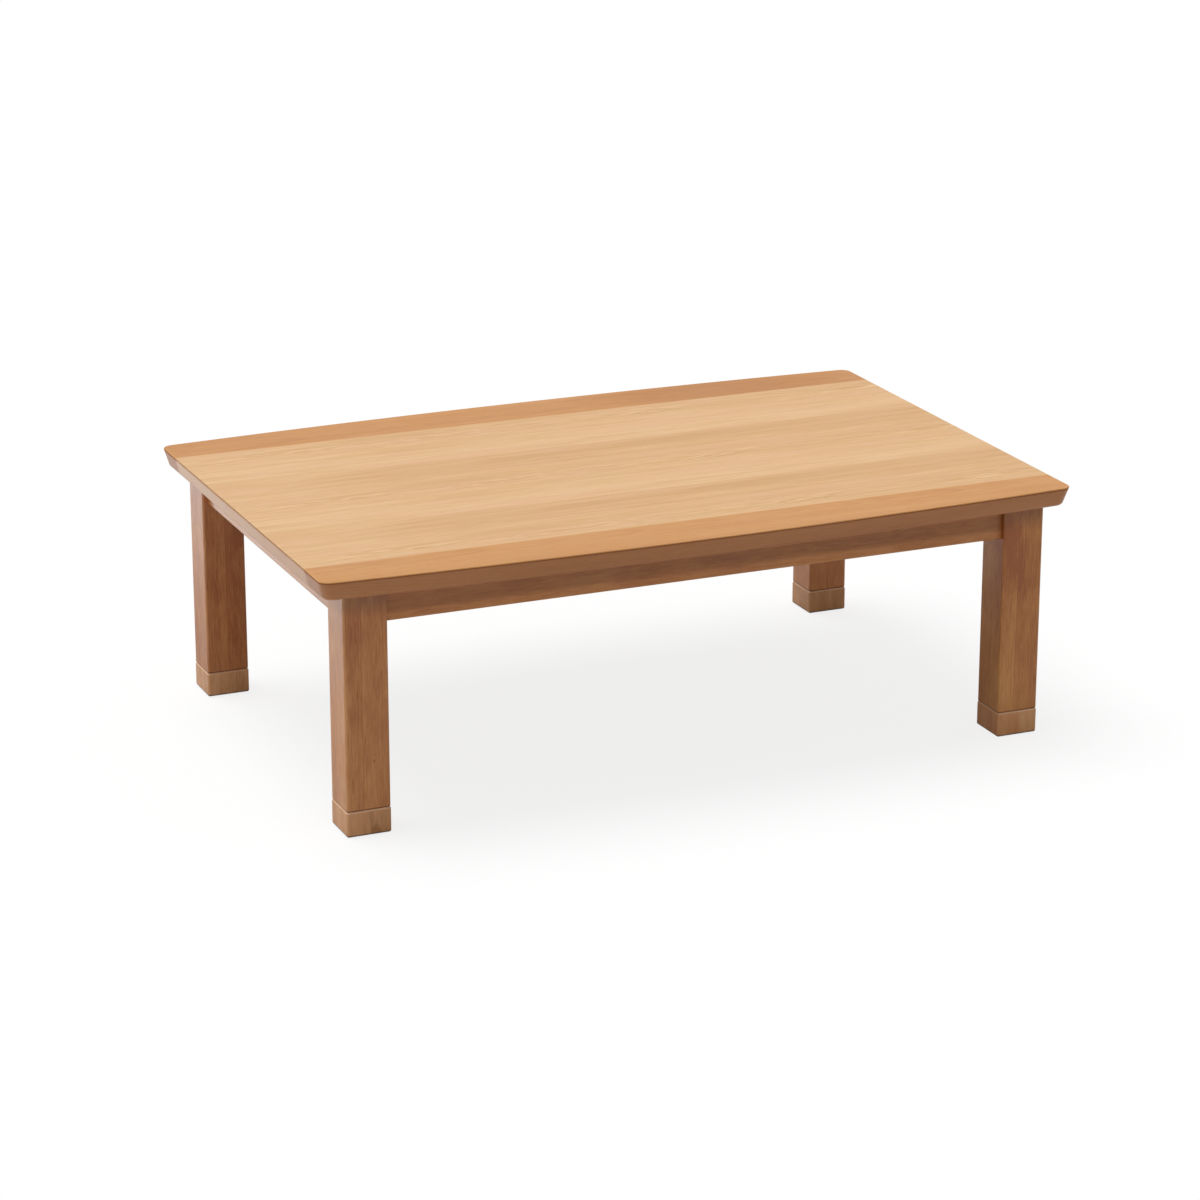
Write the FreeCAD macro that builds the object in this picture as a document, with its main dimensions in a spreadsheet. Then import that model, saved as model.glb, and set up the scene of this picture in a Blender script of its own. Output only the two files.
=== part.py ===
"""A low heated table: a loose top, a wooden frame on four legs with screw-in feet, and a heater under it.

The floor is Z = 0, the long side runs along X and the front faces -Y.
Lengths are millimetres. Every size is a cell of the sheet, and every piece is bound to the cells.
"""
import FreeCAD, Part
import os
import re

import Sketcher

SIZES = {
    # The loose top.
    "top_length": 1200,
    "top_depth": 800,
    "overall_height": 395,
    "top_thickness": 30,
    "top_bow": 20,
    "top_corner_radius": 18,
    "edge_undercut": 8,
    "edge_lower_radius": 8,
    "edge_upper_radius": 1.5,
    "band_width": 95,
    "veneer_thickness": 1,
    "backing_thickness": 1,
    "edge_strip_width": 20,
    # Gaps between pieces: a seat that lifts off, a fixed fit, a running fit and a loose hole.
    "seat_gap": 0.3,
    "snug_gap": 0.05,
    "running_gap": 0.08,
    "loose_gap": 0.4,
    # How far a tool reaches past the face that it cuts.
    "overrun": 2,
    # The legs and the feet screwed into them.
    "leg_side": 67,
    "leg_inset_x": 38,
    "leg_inset_y": 40,
    "leg_edge_radius": 4,
    "leg_end_chamfer": 1.2,
    "leg_bevel": 14,
    "leg_bevel_margin": 10,
    "foot_height": 39.5,
    "foot_overhang": 0.5,
    "foot_top_chamfer": 1.8,
    "foot_bottom_radius": 3,
    "glide_radius": 24,
    "glide_thickness": 3,
    "glide_proud": 1,
    "glide_chamfer": 0.5,
    "stud_radius": 3.9,
    "stud_bury": 22,
    "stud_reach": 25,
    "stud_chamfer": 0.8,
    "stud_tip_room": 4,
    "insert_radius": 6,
    "insert_length": 20,
    # The aprons.
    "apron_height": 46,
    "apron_thickness": 20,
    "apron_setback": 10,
    "apron_lower_radius": 4,
    "apron_upper_radius": 1.5,
    # The cushions that the top lies on.
    "cushion_radius": 7,
    "cushion_thickness": 2,
    "cushion_chamfer": 0.4,
    # The corner brackets and what bolts the legs to them.
    "bracket_reach": 84,
    "bracket_flange": 34,
    "bracket_thickness": 2,
    "bracket_height": 34,
    "bracket_screw_spread": 18,
    "screw_radius": 2,
    "screw_head_radius": 4,
    "screw_head_height": 2.4,
    "screw_length": 14,
    "screw_tip": 3,
    "screw_crown_share": 0.6,
    "bolt_radius": 4,
    "bolt_bury": 32,
    "bolt_spare": 5,
    "bolt_tip": 6,
    "washer_radius": 9,
    "washer_thickness": 1.6,
    "nut_radius": 7,
    "nut_height": 8,
    "nut_taper": 1,
    "wing_reach": 17,
    "wing_rise": 15,
    "wing_thickness": 3,
    "wing_knee_share": 0.6,
    # The bars that carry the heater.
    "bar_width": 34,
    "bar_height": 30,
    "bar_drop": 6,
    "bar_edge_radius": 2,
    "tie_width": 24,
    "dowel_radius": 4,
    "dowel_chamfer": 0.8,
    "dowel_spread": 16,
    "dowel_in_apron": 12,
    "dowel_in_bar": 18,
    "tie_screw_radius": 2.2,
    "tie_screw_length": 60,
    # The heater housing.
    "heater_margin": 13,
    "heater_play": 3,
    "heater_wall": 1.2,
    "heater_flange": 20,
    "heater_corner_radius": 10,
    "heater_top_radius": 3,
    "mount_screw_reach": 120,
    "heater_screw_inset": 10,
    "vent_length": 50,
    "vent_width": 4,
    "vent_pitch": 9,
    "vent_count": 7,
    "vent_place": 68,
    # The reflector.
    "reflector_play": 0.5,
    "reflector_height": 11.4,
    "reflector_wall": 0.8,
    "reflector_corner_radius": 8,
    "shaft_hole_radius": 8,
    "air_slot_length": 12,
    "air_slot_width": 4,
    "air_slot_place": 34,
    "air_slot_count": 10,
    # The heating tubes.
    "tube_length": 230,
    "tube_radius": 6,
    "tube_wall": 1,
    "tube_offset": 85,
    "tube_drop": 12,
    "element_radius": 2,
    "element_in_cap": 6,
    "element_chamfer": 0.5,
    "cap_radius": 9,
    "cap_length": 18,
    "cap_grip": 8,
    "cap_chamfer": 1,
    "clip_width": 24,
    "clip_thickness": 1,
    "clip_tab": 12,
    "clip_below": 12,
    # The fan and its motor.
    "motor_radius": 28,
    "motor_height": 16,
    "motor_boss_radius": 6,
    "motor_boss_height": 1,
    "motor_edge_chamfer": 2,
    "motor_bore_depth": 11,
    "motor_screw_place": 20,
    "motor_screw_length": 6,
    "shaft_radius": 2,
    "shaft_chamfer": 0.3,
    "fan_radius": 50,
    "fan_height": 14,
    "fan_gap": 4,
    "fan_plate": 1.6,
    "fan_blade": 1.6,
    "fan_blade_count": 10,
    "fan_hub_radius": 9,
    # The controls on top of the reflector.
    "control_place_x": 75,
    "control_place_y": 62,
    "thermostat_radius": 8.5,
    "thermostat_height": 5,
    "thermostat_cap_radius": 5,
    "thermostat_cap_height": 3,
    "fuse_radius": 2.5,
    "fuse_length": 14,
    "fuse_end_length": 3,
    "terminal_length": 40,
    "terminal_depth": 18,
    "terminal_height": 11,
    "terminal_hole_radius": 3,
    "terminal_hole_depth": 6,
    "terminal_pitch": 12,
    "lead_radius": 1.2,
    "lead_bend_radius": 10,
    # The guard.
    "guard_cap_room": 5.5,
    "guard_depth": 33,
    "guard_wall": 1.5,
    "guard_corner_radius": 22,
    "guard_bottom_radius": 5,
    "guard_slot_width": 5,
    "guard_slot_pitch": 8,
    "guard_rib_width": 12,
    "guard_slot_edge": 4,
    "guard_slot_inset": 20,
    "guard_side_slot_margin": 7,
    "screw_head_room": 1.5,
    "guard_screw_length": 10,
    # The power inlet behind the guard.
    "inlet_inset": 40,
    "inlet_width": 44,
    "inlet_depth": 28,
    "inlet_height": 24,
    "inlet_mouth_width": 34,
    "inlet_mouth_height": 15,
    "inlet_mouth_depth": 18,
    "inlet_edge_radius": 2,
    "pin_radius": 2.4,
    "pin_pitch": 16,
    "pin_root": 5,
    "pin_shy": 4,
    "pin_chamfer": 0.7,
}

# Places worked out from the sizes, as expressions.
TOP_UNDERSIDE = "(overall_height - top_thickness)"
BAND_INNER = "(top_depth / 2 - band_width)"
CORE_HALF = "(top_length / 2 - edge_strip_width)"
FRAME_TOP = f"({TOP_UNDERSIDE} - seat_gap - cushion_thickness)"
LEG_BOTTOM = "(foot_height + seat_gap)"
LEG_LENGTH = f"({FRAME_TOP} - {LEG_BOTTOM})"
LEG_OUTER_X = "(top_length / 2 - leg_inset_x)"
LEG_OUTER_Y = "(top_depth / 2 - leg_inset_y)"
LEG_X = f"({LEG_OUTER_X} - leg_side / 2)"
LEG_Y = f"({LEG_OUTER_Y} - leg_side / 2)"
APRON_BOTTOM = f"({FRAME_TOP} - apron_height)"
APRON_OUTER_X = f"({LEG_OUTER_X} - apron_setback)"
APRON_OUTER_Y = f"({LEG_OUTER_Y} - apron_setback)"
APRON_INNER_X = f"({APRON_OUTER_X} - apron_thickness)"
APRON_INNER_Y = f"({APRON_OUTER_Y} - apron_thickness)"
LONG_APRON = f"(2 * ({LEG_OUTER_X} - leg_side))"
SHORT_APRON = f"(2 * ({LEG_OUTER_Y} - leg_side))"
BOLT_LEVEL = f"({FRAME_TOP} - apron_height / 2)"
BRACKET_SCREW_PLACE = "(bracket_reach + bracket_flange / 2)"
BEVEL_TO_LEG_AXIS = "((leg_side - leg_bevel) / sqrt(2))"
CORNER_TO_LEG_AXIS = "((leg_side / 2 - apron_setback - apron_thickness) * sqrt(2))"
BOLT_START = f"({CORNER_TO_LEG_AXIS} + {BEVEL_TO_LEG_AXIS} - bolt_bury)"
WEB_OUTER = "(bracket_reach / sqrt(2))"
WEB_INNER = f"({WEB_OUTER} + bracket_thickness)"
NUT_START = f"({WEB_INNER} + washer_thickness)"
BOLT_END = f"({NUT_START} + nut_height + bolt_spare)"
BAR_TOP = f"({FRAME_TOP} - bar_drop)"
BAR_BOTTOM = f"({BAR_TOP} - bar_height)"
BAR_MIDDLE = f"({BAR_TOP} - bar_height / 2)"
CAP_START = "(tube_length / 2 - cap_grip)"
CAP_END = f"({CAP_START} + cap_length)"
GUARD_HALF = f"({CAP_END} + guard_cap_room + guard_wall)"
HEATER_HALF = f"({GUARD_HALF} + heater_margin)"
BAR_INNER = f"({HEATER_HALF} + heater_play)"
BAR_OUTER = f"({BAR_INNER} + bar_width)"
BAR_AXIS = f"({BAR_INNER} + bar_width / 2)"
TIE_AXIS = f"({BAR_INNER} + tie_width / 2)"
HEATER_BASE = f"({BAR_BOTTOM} - heater_wall)"
HEATER_HEIGHT = "(bar_height + heater_wall)"
FLANGE_HALF = f"({HEATER_HALF} + heater_flange)"
FLANGE_SCREW_PLACE = f"({FLANGE_HALF} - heater_screw_inset)"
HOUSING_INNER_HALF = f"({HEATER_HALF} - heater_wall)"
REFLECTOR_HALF = f"({HOUSING_INNER_HALF} - reflector_play)"
PLATE_UNDERSIDE = f"({HEATER_BASE} + reflector_height - reflector_wall)"
PLATE_TOP = f"({HEATER_BASE} + reflector_height)"
MOTOR_TOP = f"({BAR_TOP} - heater_wall)"
MOTOR_BOTTOM = f"({MOTOR_TOP} - motor_height)"
FAN_TOP = f"({PLATE_UNDERSIDE} - fan_gap)"
FAN_BOTTOM = f"({FAN_TOP} - fan_height)"
TUBE_LEVEL = f"({HEATER_BASE} - tube_drop)"
INLET_PLACE = f"({GUARD_HALF} - inlet_inset)"
INLET_TOP = f"({HEATER_BASE} - guard_wall)"
INLET_LEVEL = f"({INLET_TOP} - inlet_height / 2)"
SLOT_REACH = f"({GUARD_HALF} - guard_corner_radius)"
FLOOR_SLOT_ROOM = f"({GUARD_HALF} - guard_corner_radius - guard_slot_edge)"
SIDE_SLOT_ROOM = f"({GUARD_HALF} - guard_corner_radius - guard_slot_inset)"

X_AXIS = FreeCAD.Vector(1, 0, 0)
Y_AXIS = FreeCAD.Vector(0, 1, 0)
Z_AXIS = FreeCAD.Vector(0, 0, 1)
UPRIGHT = FreeCAD.Rotation()
ALONG_X = FreeCAD.Rotation(Y_AXIS, 90)
ALONG_Y = FreeCAD.Rotation(X_AXIS, -90)
AGAINST_Y = FreeCAD.Rotation(X_AXIS, 90)
UPSIDE_DOWN = FreeCAD.Rotation(X_AXIS, 180)
ALONG_DIAGONAL = FreeCAD.Rotation(FreeCAD.Vector(-1, 1, 0), 90)
QUARTER_TURN = 90
HALF_TURN = 180
FULL_TURN = 360
SAME_PLACE = 0.01

DOC = FreeCAD.newDocument("LowHeatedTable")
SHEET = DOC.addObject("Spreadsheet::Sheet", "Sizes")
GAUGE = DOC.addObject("App::FeaturePython", "Gauge")
NODES = []


def fill_sheet():
    """Write every size to its own cell, under its own name."""
    for row, (name, size) in enumerate(SIZES.items(), start=1):
        SHEET.set(f"A{row}", name)
        SHEET.set(f"B{row}", str(size))
        SHEET.setAlias(f"B{row}", name)
    GAUGE.addProperty("App::PropertyFloat", "Reading")
    DOC.recompute()


def expression(words):
    """Point each name of a size in an expression at its cell."""
    return re.sub("[a-z_]+", lambda name: f"Sizes.{name[0]}" if name[0] in SIZES else name[0], words)


def reading(words):
    """Read the number that an expression gives now."""
    GAUGE.setExpression("Reading", expression(words))
    GAUGE.recompute()
    return GAUGE.Reading


def bind(feature, **words):
    """Bind properties of a feature to expressions."""
    for name, text in words.items():
        feature.setExpression(name, expression(text))
    return feature


def place(feature, x="0", y="0", z="0", rotation=UPRIGHT, turn=0):
    """Tilt a feature, turn it about Z and bind its position."""
    feature.Placement = FreeCAD.Placement(FreeCAD.Vector(), FreeCAD.Rotation(Z_AXIS, turn) * rotation)
    for axis, text in (("x", x), ("y", y), ("z", z)):
        feature.setExpression(f"Placement.Base.{axis}", expression(text))
    return feature


def node(feature):
    """Count a feature among the pieces that are written out."""
    NODES.append(feature)
    return feature


def new(kind, label):
    """Add an object with its own label."""
    feature = DOC.addObject(kind, label)
    feature.Label = label
    return feature


def new_sketch(body, name, plane="XY_Plane", offset="0"):
    """Add a sketch on one of the body's own planes, lifted off it by an offset."""
    support = [feature for feature in body.Origin.OriginFeatures if feature.Role == plane][0]
    sketch = body.newObject("Sketcher::SketchObject", f"{body.Name}_{name}")
    sketch.AttachmentSupport = (support, [""])
    sketch.MapMode = "FlatFace"
    sketch.setExpression("AttachmentOffset.Base.z", expression(offset))
    return sketch


def tie_point(sketch, geometry, point, x, y):
    """Hold one point of a sketch at a place given by two expressions."""
    for kind, axis, text in (("DistanceX", -2, x), ("DistanceY", -1, y)):
        if text == "0":
            sketch.addConstraint(Sketcher.Constraint("PointOnObject", geometry, point, axis))
            continue
        constraint = Sketcher.Constraint(kind, -1, 1, geometry, point, reading(text))
        index = sketch.addConstraint(constraint)
        sketch.setExpression(f"Constraints[{index}]", expression(text))


def polygon(sketch, points):
    """Draw a closed outline through points given as pairs of expressions."""
    corners = [FreeCAD.Vector(reading(x), reading(y), 0) for x, y in points]
    first = sketch.GeometryCount
    count = len(points)
    for index, corner in enumerate(corners):
        sketch.addGeometry(Part.LineSegment(corner, corners[(index + 1) % count]), False)
    for index, (x, y) in enumerate(points):
        after = first + (index + 1) % count
        sketch.addConstraint(Sketcher.Constraint("Coincident", first + index, 2, after, 1))
        tie_point(sketch, first + index, 1, x, y)
    return sketch


def rectangle(sketch, left, low, right, high):
    """Draw a rectangle between two corners given as expressions."""
    return polygon(sketch, [(left, low), (right, low), (right, high), (left, high)])


def square(sketch, half):
    """Draw a square about the origin."""
    return rectangle(sketch, f"-{half}", f"-{half}", half, half)


def rounded_square(sketch, half, radius):
    """Draw a square about the origin with round corners."""
    flat = f"({half} - ({radius}))"
    sides = [((f"-{flat}", f"-{half}"), (flat, f"-{half}")), ((half, f"-{flat}"), (half, flat)),
             ((flat, half), (f"-{flat}", half)), ((f"-{half}", flat), (f"-{half}", f"-{flat}"))]
    first = sketch.GeometryCount
    count = len(sides)
    for ends in sides:
        start, end = [FreeCAD.Vector(reading(x), reading(y), 0) for x, y in ends]
        sketch.addGeometry(Part.LineSegment(start, end), False)
    for index, ends in enumerate(sides):
        for point, (x, y) in enumerate(ends, start=1):
            tie_point(sketch, first + index, point, x, y)
    corner_share = 1 - 1 / 2 ** 0.5
    for index in range(count):
        start = sketch.Geometry[first + index].EndPoint
        end = sketch.Geometry[first + (index + 1) % count].StartPoint
        run = sketch.Geometry[first + index].EndPoint - sketch.Geometry[first + index].StartPoint
        outer = start + run.normalize() * reading(radius)
        middle = outer + ((start - outer) + (end - outer)) * corner_share
        arc = sketch.addGeometry(Part.Arc(start, middle, end), False)
        sketch.addConstraint(Sketcher.Constraint("Coincident", arc, 1, first + index, 2))
        sketch.addConstraint(Sketcher.Constraint("Coincident", arc, 2, first + (index + 1) % count, 1))
        held = sketch.addConstraint(Sketcher.Constraint("Radius", arc, reading(radius)))
        sketch.setExpression(f"Constraints[{held}]", expression(radius))
    return sketch


def circle(sketch, x, y, radius):
    """Draw a circle about a point given as expressions."""
    centre = FreeCAD.Vector(reading(x), reading(y), 0)
    geometry = sketch.addGeometry(Part.Circle(centre, Z_AXIS, reading(radius)), False)
    tie_point(sketch, geometry, 3, x, y)
    index = sketch.addConstraint(Sketcher.Constraint("Radius", geometry, reading(radius)))
    sketch.setExpression(f"Constraints[{index}]", expression(radius))
    return sketch


def pad(body, sketch, length, downward=False, midplane=False):
    """Raise a sketch into a solid."""
    feature = body.newObject("PartDesign::Pad", f"{sketch.Name}_pad")
    feature.Profile = sketch
    feature.Reversed = downward
    feature.Midplane = midplane
    return bind(feature, Length=length)


def pocket(body, sketch, length, upward=False, midplane=False):
    """Sink a sketch into a solid."""
    feature = body.newObject("PartDesign::Pocket", f"{sketch.Name}_pocket")
    feature.Profile = sketch
    feature.Reversed = upward
    feature.Midplane = midplane
    return bind(feature, Length=length)


def revolve(body, sketch):
    """Turn a profile about the sketch's own upright axis."""
    feature = body.newObject("PartDesign::Revolution", f"{sketch.Name}_turn")
    feature.Profile = sketch
    feature.ReferenceAxis = (sketch, ["V_Axis"])
    feature.Angle = FULL_TURN
    return feature


def pattern(body, kind, original, direction, count):
    """Repeat a feature along or about one of the body's own axes."""
    feature = body.newObject(kind, f"{original.Name}_pattern")
    feature.Originals = [original]
    axis = [item for item in body.Origin.OriginFeatures if item.Role == direction][0]
    setattr(feature, "Axis" if kind.endswith("PolarPattern") else "Direction", (axis, [""]))
    bind(feature, Occurrences=count)
    body.Tip = feature
    return feature


def ease(body, kind, picks, **size):
    """Round or bevel the edges of a body that a test picks."""
    DOC.recompute()
    base = body.Tip
    edges = [f"Edge{index}" for index, edge in enumerate(base.Shape.Edges, start=1) if picks(edge)]
    if not edges:
        raise RuntimeError(f"{body.Label}: no edge to ease")
    feature = body.newObject(kind, f"{base.Name}_eased")
    feature.Base = (base, edges)
    return bind(feature, **size)


def fillet(body, picks, radius):
    """Round the edges that a test picks."""
    return ease(body, "PartDesign::Fillet", picks, Radius=radius)


def chamfer(body, picks, size):
    """Bevel the edges that a test picks."""
    return ease(body, "PartDesign::Chamfer", picks, Size=size)


def span(edge):
    """Say how far an edge reaches along X, Y and Z."""
    first = edge.Vertexes[0].Point
    last = edge.Vertexes[-1].Point
    return abs(first.x - last.x), abs(first.y - last.y), abs(first.z - last.z)


def rises(edge):
    """Tell whether an edge leads from one height to another."""
    return span(edge)[2] > SAME_PLACE


def runs_x(edge):
    """Tell whether an edge runs along X alone."""
    along_x, along_y, along_z = span(edge)
    return along_x > SAME_PLACE and along_y < SAME_PLACE and along_z < SAME_PLACE


def runs_y(edge):
    """Tell whether an edge runs along Y alone."""
    along_x, along_y, along_z = span(edge)
    return along_y > SAME_PLACE and along_x < SAME_PLACE and along_z < SAME_PLACE


def at_level(words):
    """Make a test for edges that lie at one height."""
    level = reading(words)

    def picks(edge):
        return all(abs(vertex.Point.z - level) < SAME_PLACE for vertex in edge.Vertexes)
    return picks


def box(label, low, high):
    """Make a box between two corners given as expressions."""
    feature = new("Part::Box", label)
    names = ("Length", "Width", "Height")
    bind(feature, **{name: f"({top}) - ({bottom})" for name, bottom, top in zip(names, low, high)})
    return place(feature, *low)


def cylinder(label, radius, length):
    """Make a cylinder that rises from the origin."""
    return bind(new("Part::Cylinder", label), Radius=radius, Height=length)


def copies(label, original, places, rotation=UPRIGHT):
    """Gather copies of an original at places given as (x, y, z, turn)."""
    links = []
    for index, (x, y, z, turn) in enumerate(places):
        link = new("App::Link", f"{label}_copy_{index}")
        link.setLink(original)
        links.append(place(link, x, y, z, rotation, turn))
    feature = new("Part::Compound", label)
    feature.Links = links
    return feature


def gather(label, pieces):
    """Put several features in one compound."""
    feature = new("Part::Compound", label)
    feature.Links = pieces
    return feature


def cut(label, base, tool):
    """Take a tool out of a base."""
    feature = new("Part::Cut", label)
    feature.Base = base
    feature.Tool = tool
    return feature


def common(label, base, tool):
    """Keep what a base shares with a tool."""
    feature = new("Part::Common", label)
    feature.Base = base
    feature.Tool = tool
    return feature


def turned_piece(label, profile):
    """Make a round piece from half of its section, given as (radius, height) pairs."""
    body = new("PartDesign::Body", label)
    revolve(body, polygon(new_sketch(body, "section", "XZ_Plane"), profile))
    return body


def rod(label, radius, low, high, low_chamfer, high_chamfer):
    """Make a round rod along Z with bevelled ends."""
    return turned_piece(label, [
        ("0", low), (f"{radius} - {low_chamfer}", low), (radius, f"{low} + {low_chamfer}"),
        (radius, f"{high} - {high_chamfer}"), (f"{radius} - {high_chamfer}", high), ("0", high),
    ])


def ring(label, inner, outer, low, high):
    """Make a round ring about Z."""
    return turned_piece(label, [(inner, low), (outer, low), (outer, high), (inner, high)])


def screw(label, radius, length):
    """Make a pan-head screw: its seat at Z = 0, its head above and its point below."""
    return turned_piece(label, [
        ("0", f"-{length}"), (radius, f"screw_tip - {length}"), (radius, "0"),
        ("screw_head_radius", "0"), ("screw_head_radius", "screw_head_height / 2"),
        ("screw_head_radius * screw_crown_share", "screw_head_height"), ("0", "screw_head_height"),
    ])


def corners(x, y, z):
    """List the four corners, front left first, turned so that local +X and +Y point inwards."""
    return [
        (f"-{x}", f"-{y}", z, 0), (x, f"-{y}", z, QUARTER_TURN),
        (x, y, z, HALF_TURN), (f"-{x}", y, z, HALF_TURN + QUARTER_TURN),
    ]


CORNER_NAMES = ("front_left", "front_right", "back_right", "back_left")


def tabletop_slab():
    """Shape the whole top: bowed long edges, round corners and an undercut edge face."""
    body = new("PartDesign::Body", "tabletop_slab")
    sketch = new_sketch(body, "outline")
    half_length = reading("top_length / 2")
    half_end = reading("top_depth / 2 - top_bow")
    half_depth = reading("top_depth / 2")
    for side in (-1, 1):
        low = FreeCAD.Vector(side * half_length, -half_end, 0)
        high = FreeCAD.Vector(side * half_length, half_end, 0)
        sketch.addGeometry(Part.LineSegment(low, high), False)
    for side in (-1, 1):
        start = FreeCAD.Vector(side * half_length, side * half_end, 0)
        end = FreeCAD.Vector(-side * half_length, side * half_end, 0)
        bow = Part.Arc(start, FreeCAD.Vector(0, side * half_depth, 0), end)
        sketch.addGeometry(bow, False)
    for line, side in ((0, "-"), (1, "")):
        for point, end in ((1, "-"), (2, "")):
            tie_point(sketch, line, point, f"{side}top_length / 2", f"{end}(top_depth / 2 - top_bow)")
    bow_radius = "(top_length ^ 2 / 4 + top_bow ^ 2) / (2 * top_bow)"
    for arc, first_line, line_point in ((2, 0, 1), (3, 1, 2)):
        for line, point in ((first_line, 1), (1 - first_line, 2)):
            sketch.addConstraint(Sketcher.Constraint("Coincident", arc, point, line, line_point))
        index = sketch.addConstraint(Sketcher.Constraint("Radius", arc, reading(bow_radius)))
        sketch.setExpression(f"Constraints[{index}]", expression(bow_radius))
    slab = pad(body, sketch, "top_thickness", downward=True)
    bind(slab, TaperAngle="-atan(edge_undercut / top_thickness)")
    fillet(body, rises, "top_corner_radius")
    fillet(body, at_level("-top_thickness"), "edge_lower_radius")
    fillet(body, at_level("0"), "edge_upper_radius")
    return place(body, z="overall_height")


def build_tabletop():
    """Part the slab into the boards, strips and sheets that the top is glued from."""
    slab = tabletop_slab()
    beyond_x = "(top_length / 2 + overrun)"
    beyond_y = "(top_depth / 2 + overrun)"
    below = f"({TOP_UNDERSIDE} - overrun)"
    above = "(overall_height + overrun)"
    veneer_bottom = "(overall_height - veneer_thickness)"
    for name, low, high in (("front", f"-{beyond_y}", f"-{BAND_INNER}"), ("back", BAND_INNER, beyond_y)):
        zone = box(f"band_zone_{name}", (f"-{beyond_x}", low, below), (beyond_x, high, above))
        node(common(f"tabletop_band_{name}", slab, zone))
    for name, low, high in (("left", f"-{beyond_x}", f"-{CORE_HALF}"), ("right", CORE_HALF, beyond_x)):
        zone = box(f"strip_zone_{name}", (low, f"-{BAND_INNER}", below), (high, BAND_INNER, veneer_bottom))
        node(common(f"tabletop_edge_strip_{name}", slab, zone))
    zone = box("veneer_zone", (f"-{beyond_x}", f"-{BAND_INNER}", veneer_bottom),
               (beyond_x, BAND_INNER, above))
    node(common("tabletop_veneer", slab, zone))
    core_bottom = f"{TOP_UNDERSIDE} + backing_thickness"
    node(box("tabletop_core", (f"-{CORE_HALF}", f"-{BAND_INNER}", core_bottom),
             (CORE_HALF, BAND_INNER, veneer_bottom)))
    node(box("tabletop_backing", (f"-{CORE_HALF}", f"-{BAND_INNER}", TOP_UNDERSIDE),
             (CORE_HALF, BAND_INNER, core_bottom)))


def leg_original():
    """Shape one leg about its own axis, its inner corner towards +X and +Y."""
    body = new("PartDesign::Body", "leg_blank")
    pad(body, square(new_sketch(body, "section"), "leg_side / 2"), LEG_LENGTH)
    fillet(body, rises, "leg_edge_radius")
    bottom = at_level("0")
    top = at_level(LEG_LENGTH)
    chamfer(body, lambda edge: bottom(edge) or top(edge), "leg_end_chamfer")
    outside = "(leg_side / 2 + overrun)"
    inside = "(leg_side / 2 - leg_bevel - overrun)"
    bevel = polygon(new_sketch(body, "bevel", offset=LEG_LENGTH),
                    [(outside, inside), (outside, outside), (inside, outside)])
    pocket(body, bevel, "apron_height + leg_bevel_margin")
    insert_hole = circle(new_sketch(body, "insert_hole"), "0", "0", "insert_radius + snug_gap")
    pocket(body, insert_hole, "insert_length", upward=True)
    stud_room = circle(new_sketch(body, "stud_room"), "0", "0", "stud_radius + loose_gap")
    pocket(body, stud_room, "stud_reach + stud_tip_room", upward=True)
    drill = cylinder("leg_bolt_drill", "bolt_radius + snug_gap", "bolt_bury + leg_side")
    start = f"({BEVEL_TO_LEG_AXIS} - bolt_bury) / sqrt(2)"
    place(drill, start, start, f"{BOLT_LEVEL} - {LEG_BOTTOM}", ALONG_DIAGONAL)
    return cut("leg_original", body, drill)


def foot_original():
    """Shape one foot block about the leg's axis, above the glide that it stands on."""
    body = new("PartDesign::Body", "foot_original")
    section = square(new_sketch(body, "section", offset="glide_proud"), "(leg_side / 2 + foot_overhang)")
    pad(body, section, "foot_height - glide_proud")
    fillet(body, rises, "leg_edge_radius")
    chamfer(body, at_level("foot_height"), "foot_top_chamfer")
    fillet(body, at_level("glide_proud"), "foot_bottom_radius")
    seat = circle(new_sketch(body, "glide_seat"), "0", "0", "glide_radius + snug_gap")
    pocket(body, seat, "glide_thickness", upward=True)
    stud_hole = circle(new_sketch(body, "stud_hole", offset="foot_height"), "0", "0",
                       "stud_radius + snug_gap")
    pocket(body, stud_hole, "stud_bury")
    return body


def build_legs_and_feet():
    """Stand the legs at the corners, with a nut in each, and a foot with its stud and glide below."""
    stud = rod("stud_original", "stud_radius", "(foot_height - stud_bury)", "(foot_height + stud_reach)",
               "stud_chamfer", "stud_chamfer")
    glide = rod("glide_original", "glide_radius", "0", "glide_thickness", "glide_chamfer", "glide_chamfer")
    insert = ring("insert_original", "stud_radius + running_gap", "insert_radius", "0", "insert_length")
    leg = leg_original()
    foot = foot_original()
    for name, leg_place, foot_place in zip(CORNER_NAMES, corners(LEG_X, LEG_Y, LEG_BOTTOM),
                                           corners(LEG_X, LEG_Y, "0")):
        node(copies(f"leg_{name}", leg, [leg_place]))
        node(copies(f"foot_block_{name}", foot, [foot_place]))
        node(copies(f"foot_stud_{name}", stud, [foot_place]))
        node(copies(f"foot_glide_{name}", glide, [foot_place]))
    node(copies("leg_insert_nuts", insert, corners(LEG_X, LEG_Y, LEG_BOTTOM)))


def apron_blank(label, length):
    """Shape an apron with its outer face on Y = 0 and its inner face towards +Y."""
    body = new("PartDesign::Body", label)
    half = f"({length} / 2)"
    section = rectangle(new_sketch(body, "plan"), f"-{half}", "0", half, "apron_thickness")
    pad(body, section, "apron_height")
    bottom = at_level("0")
    fillet(body, lambda edge: runs_x(edge) and bottom(edge), "apron_lower_radius")
    top = at_level("apron_height")
    fillet(body, lambda edge: runs_x(edge) and top(edge), "apron_upper_radius")
    return body


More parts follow.
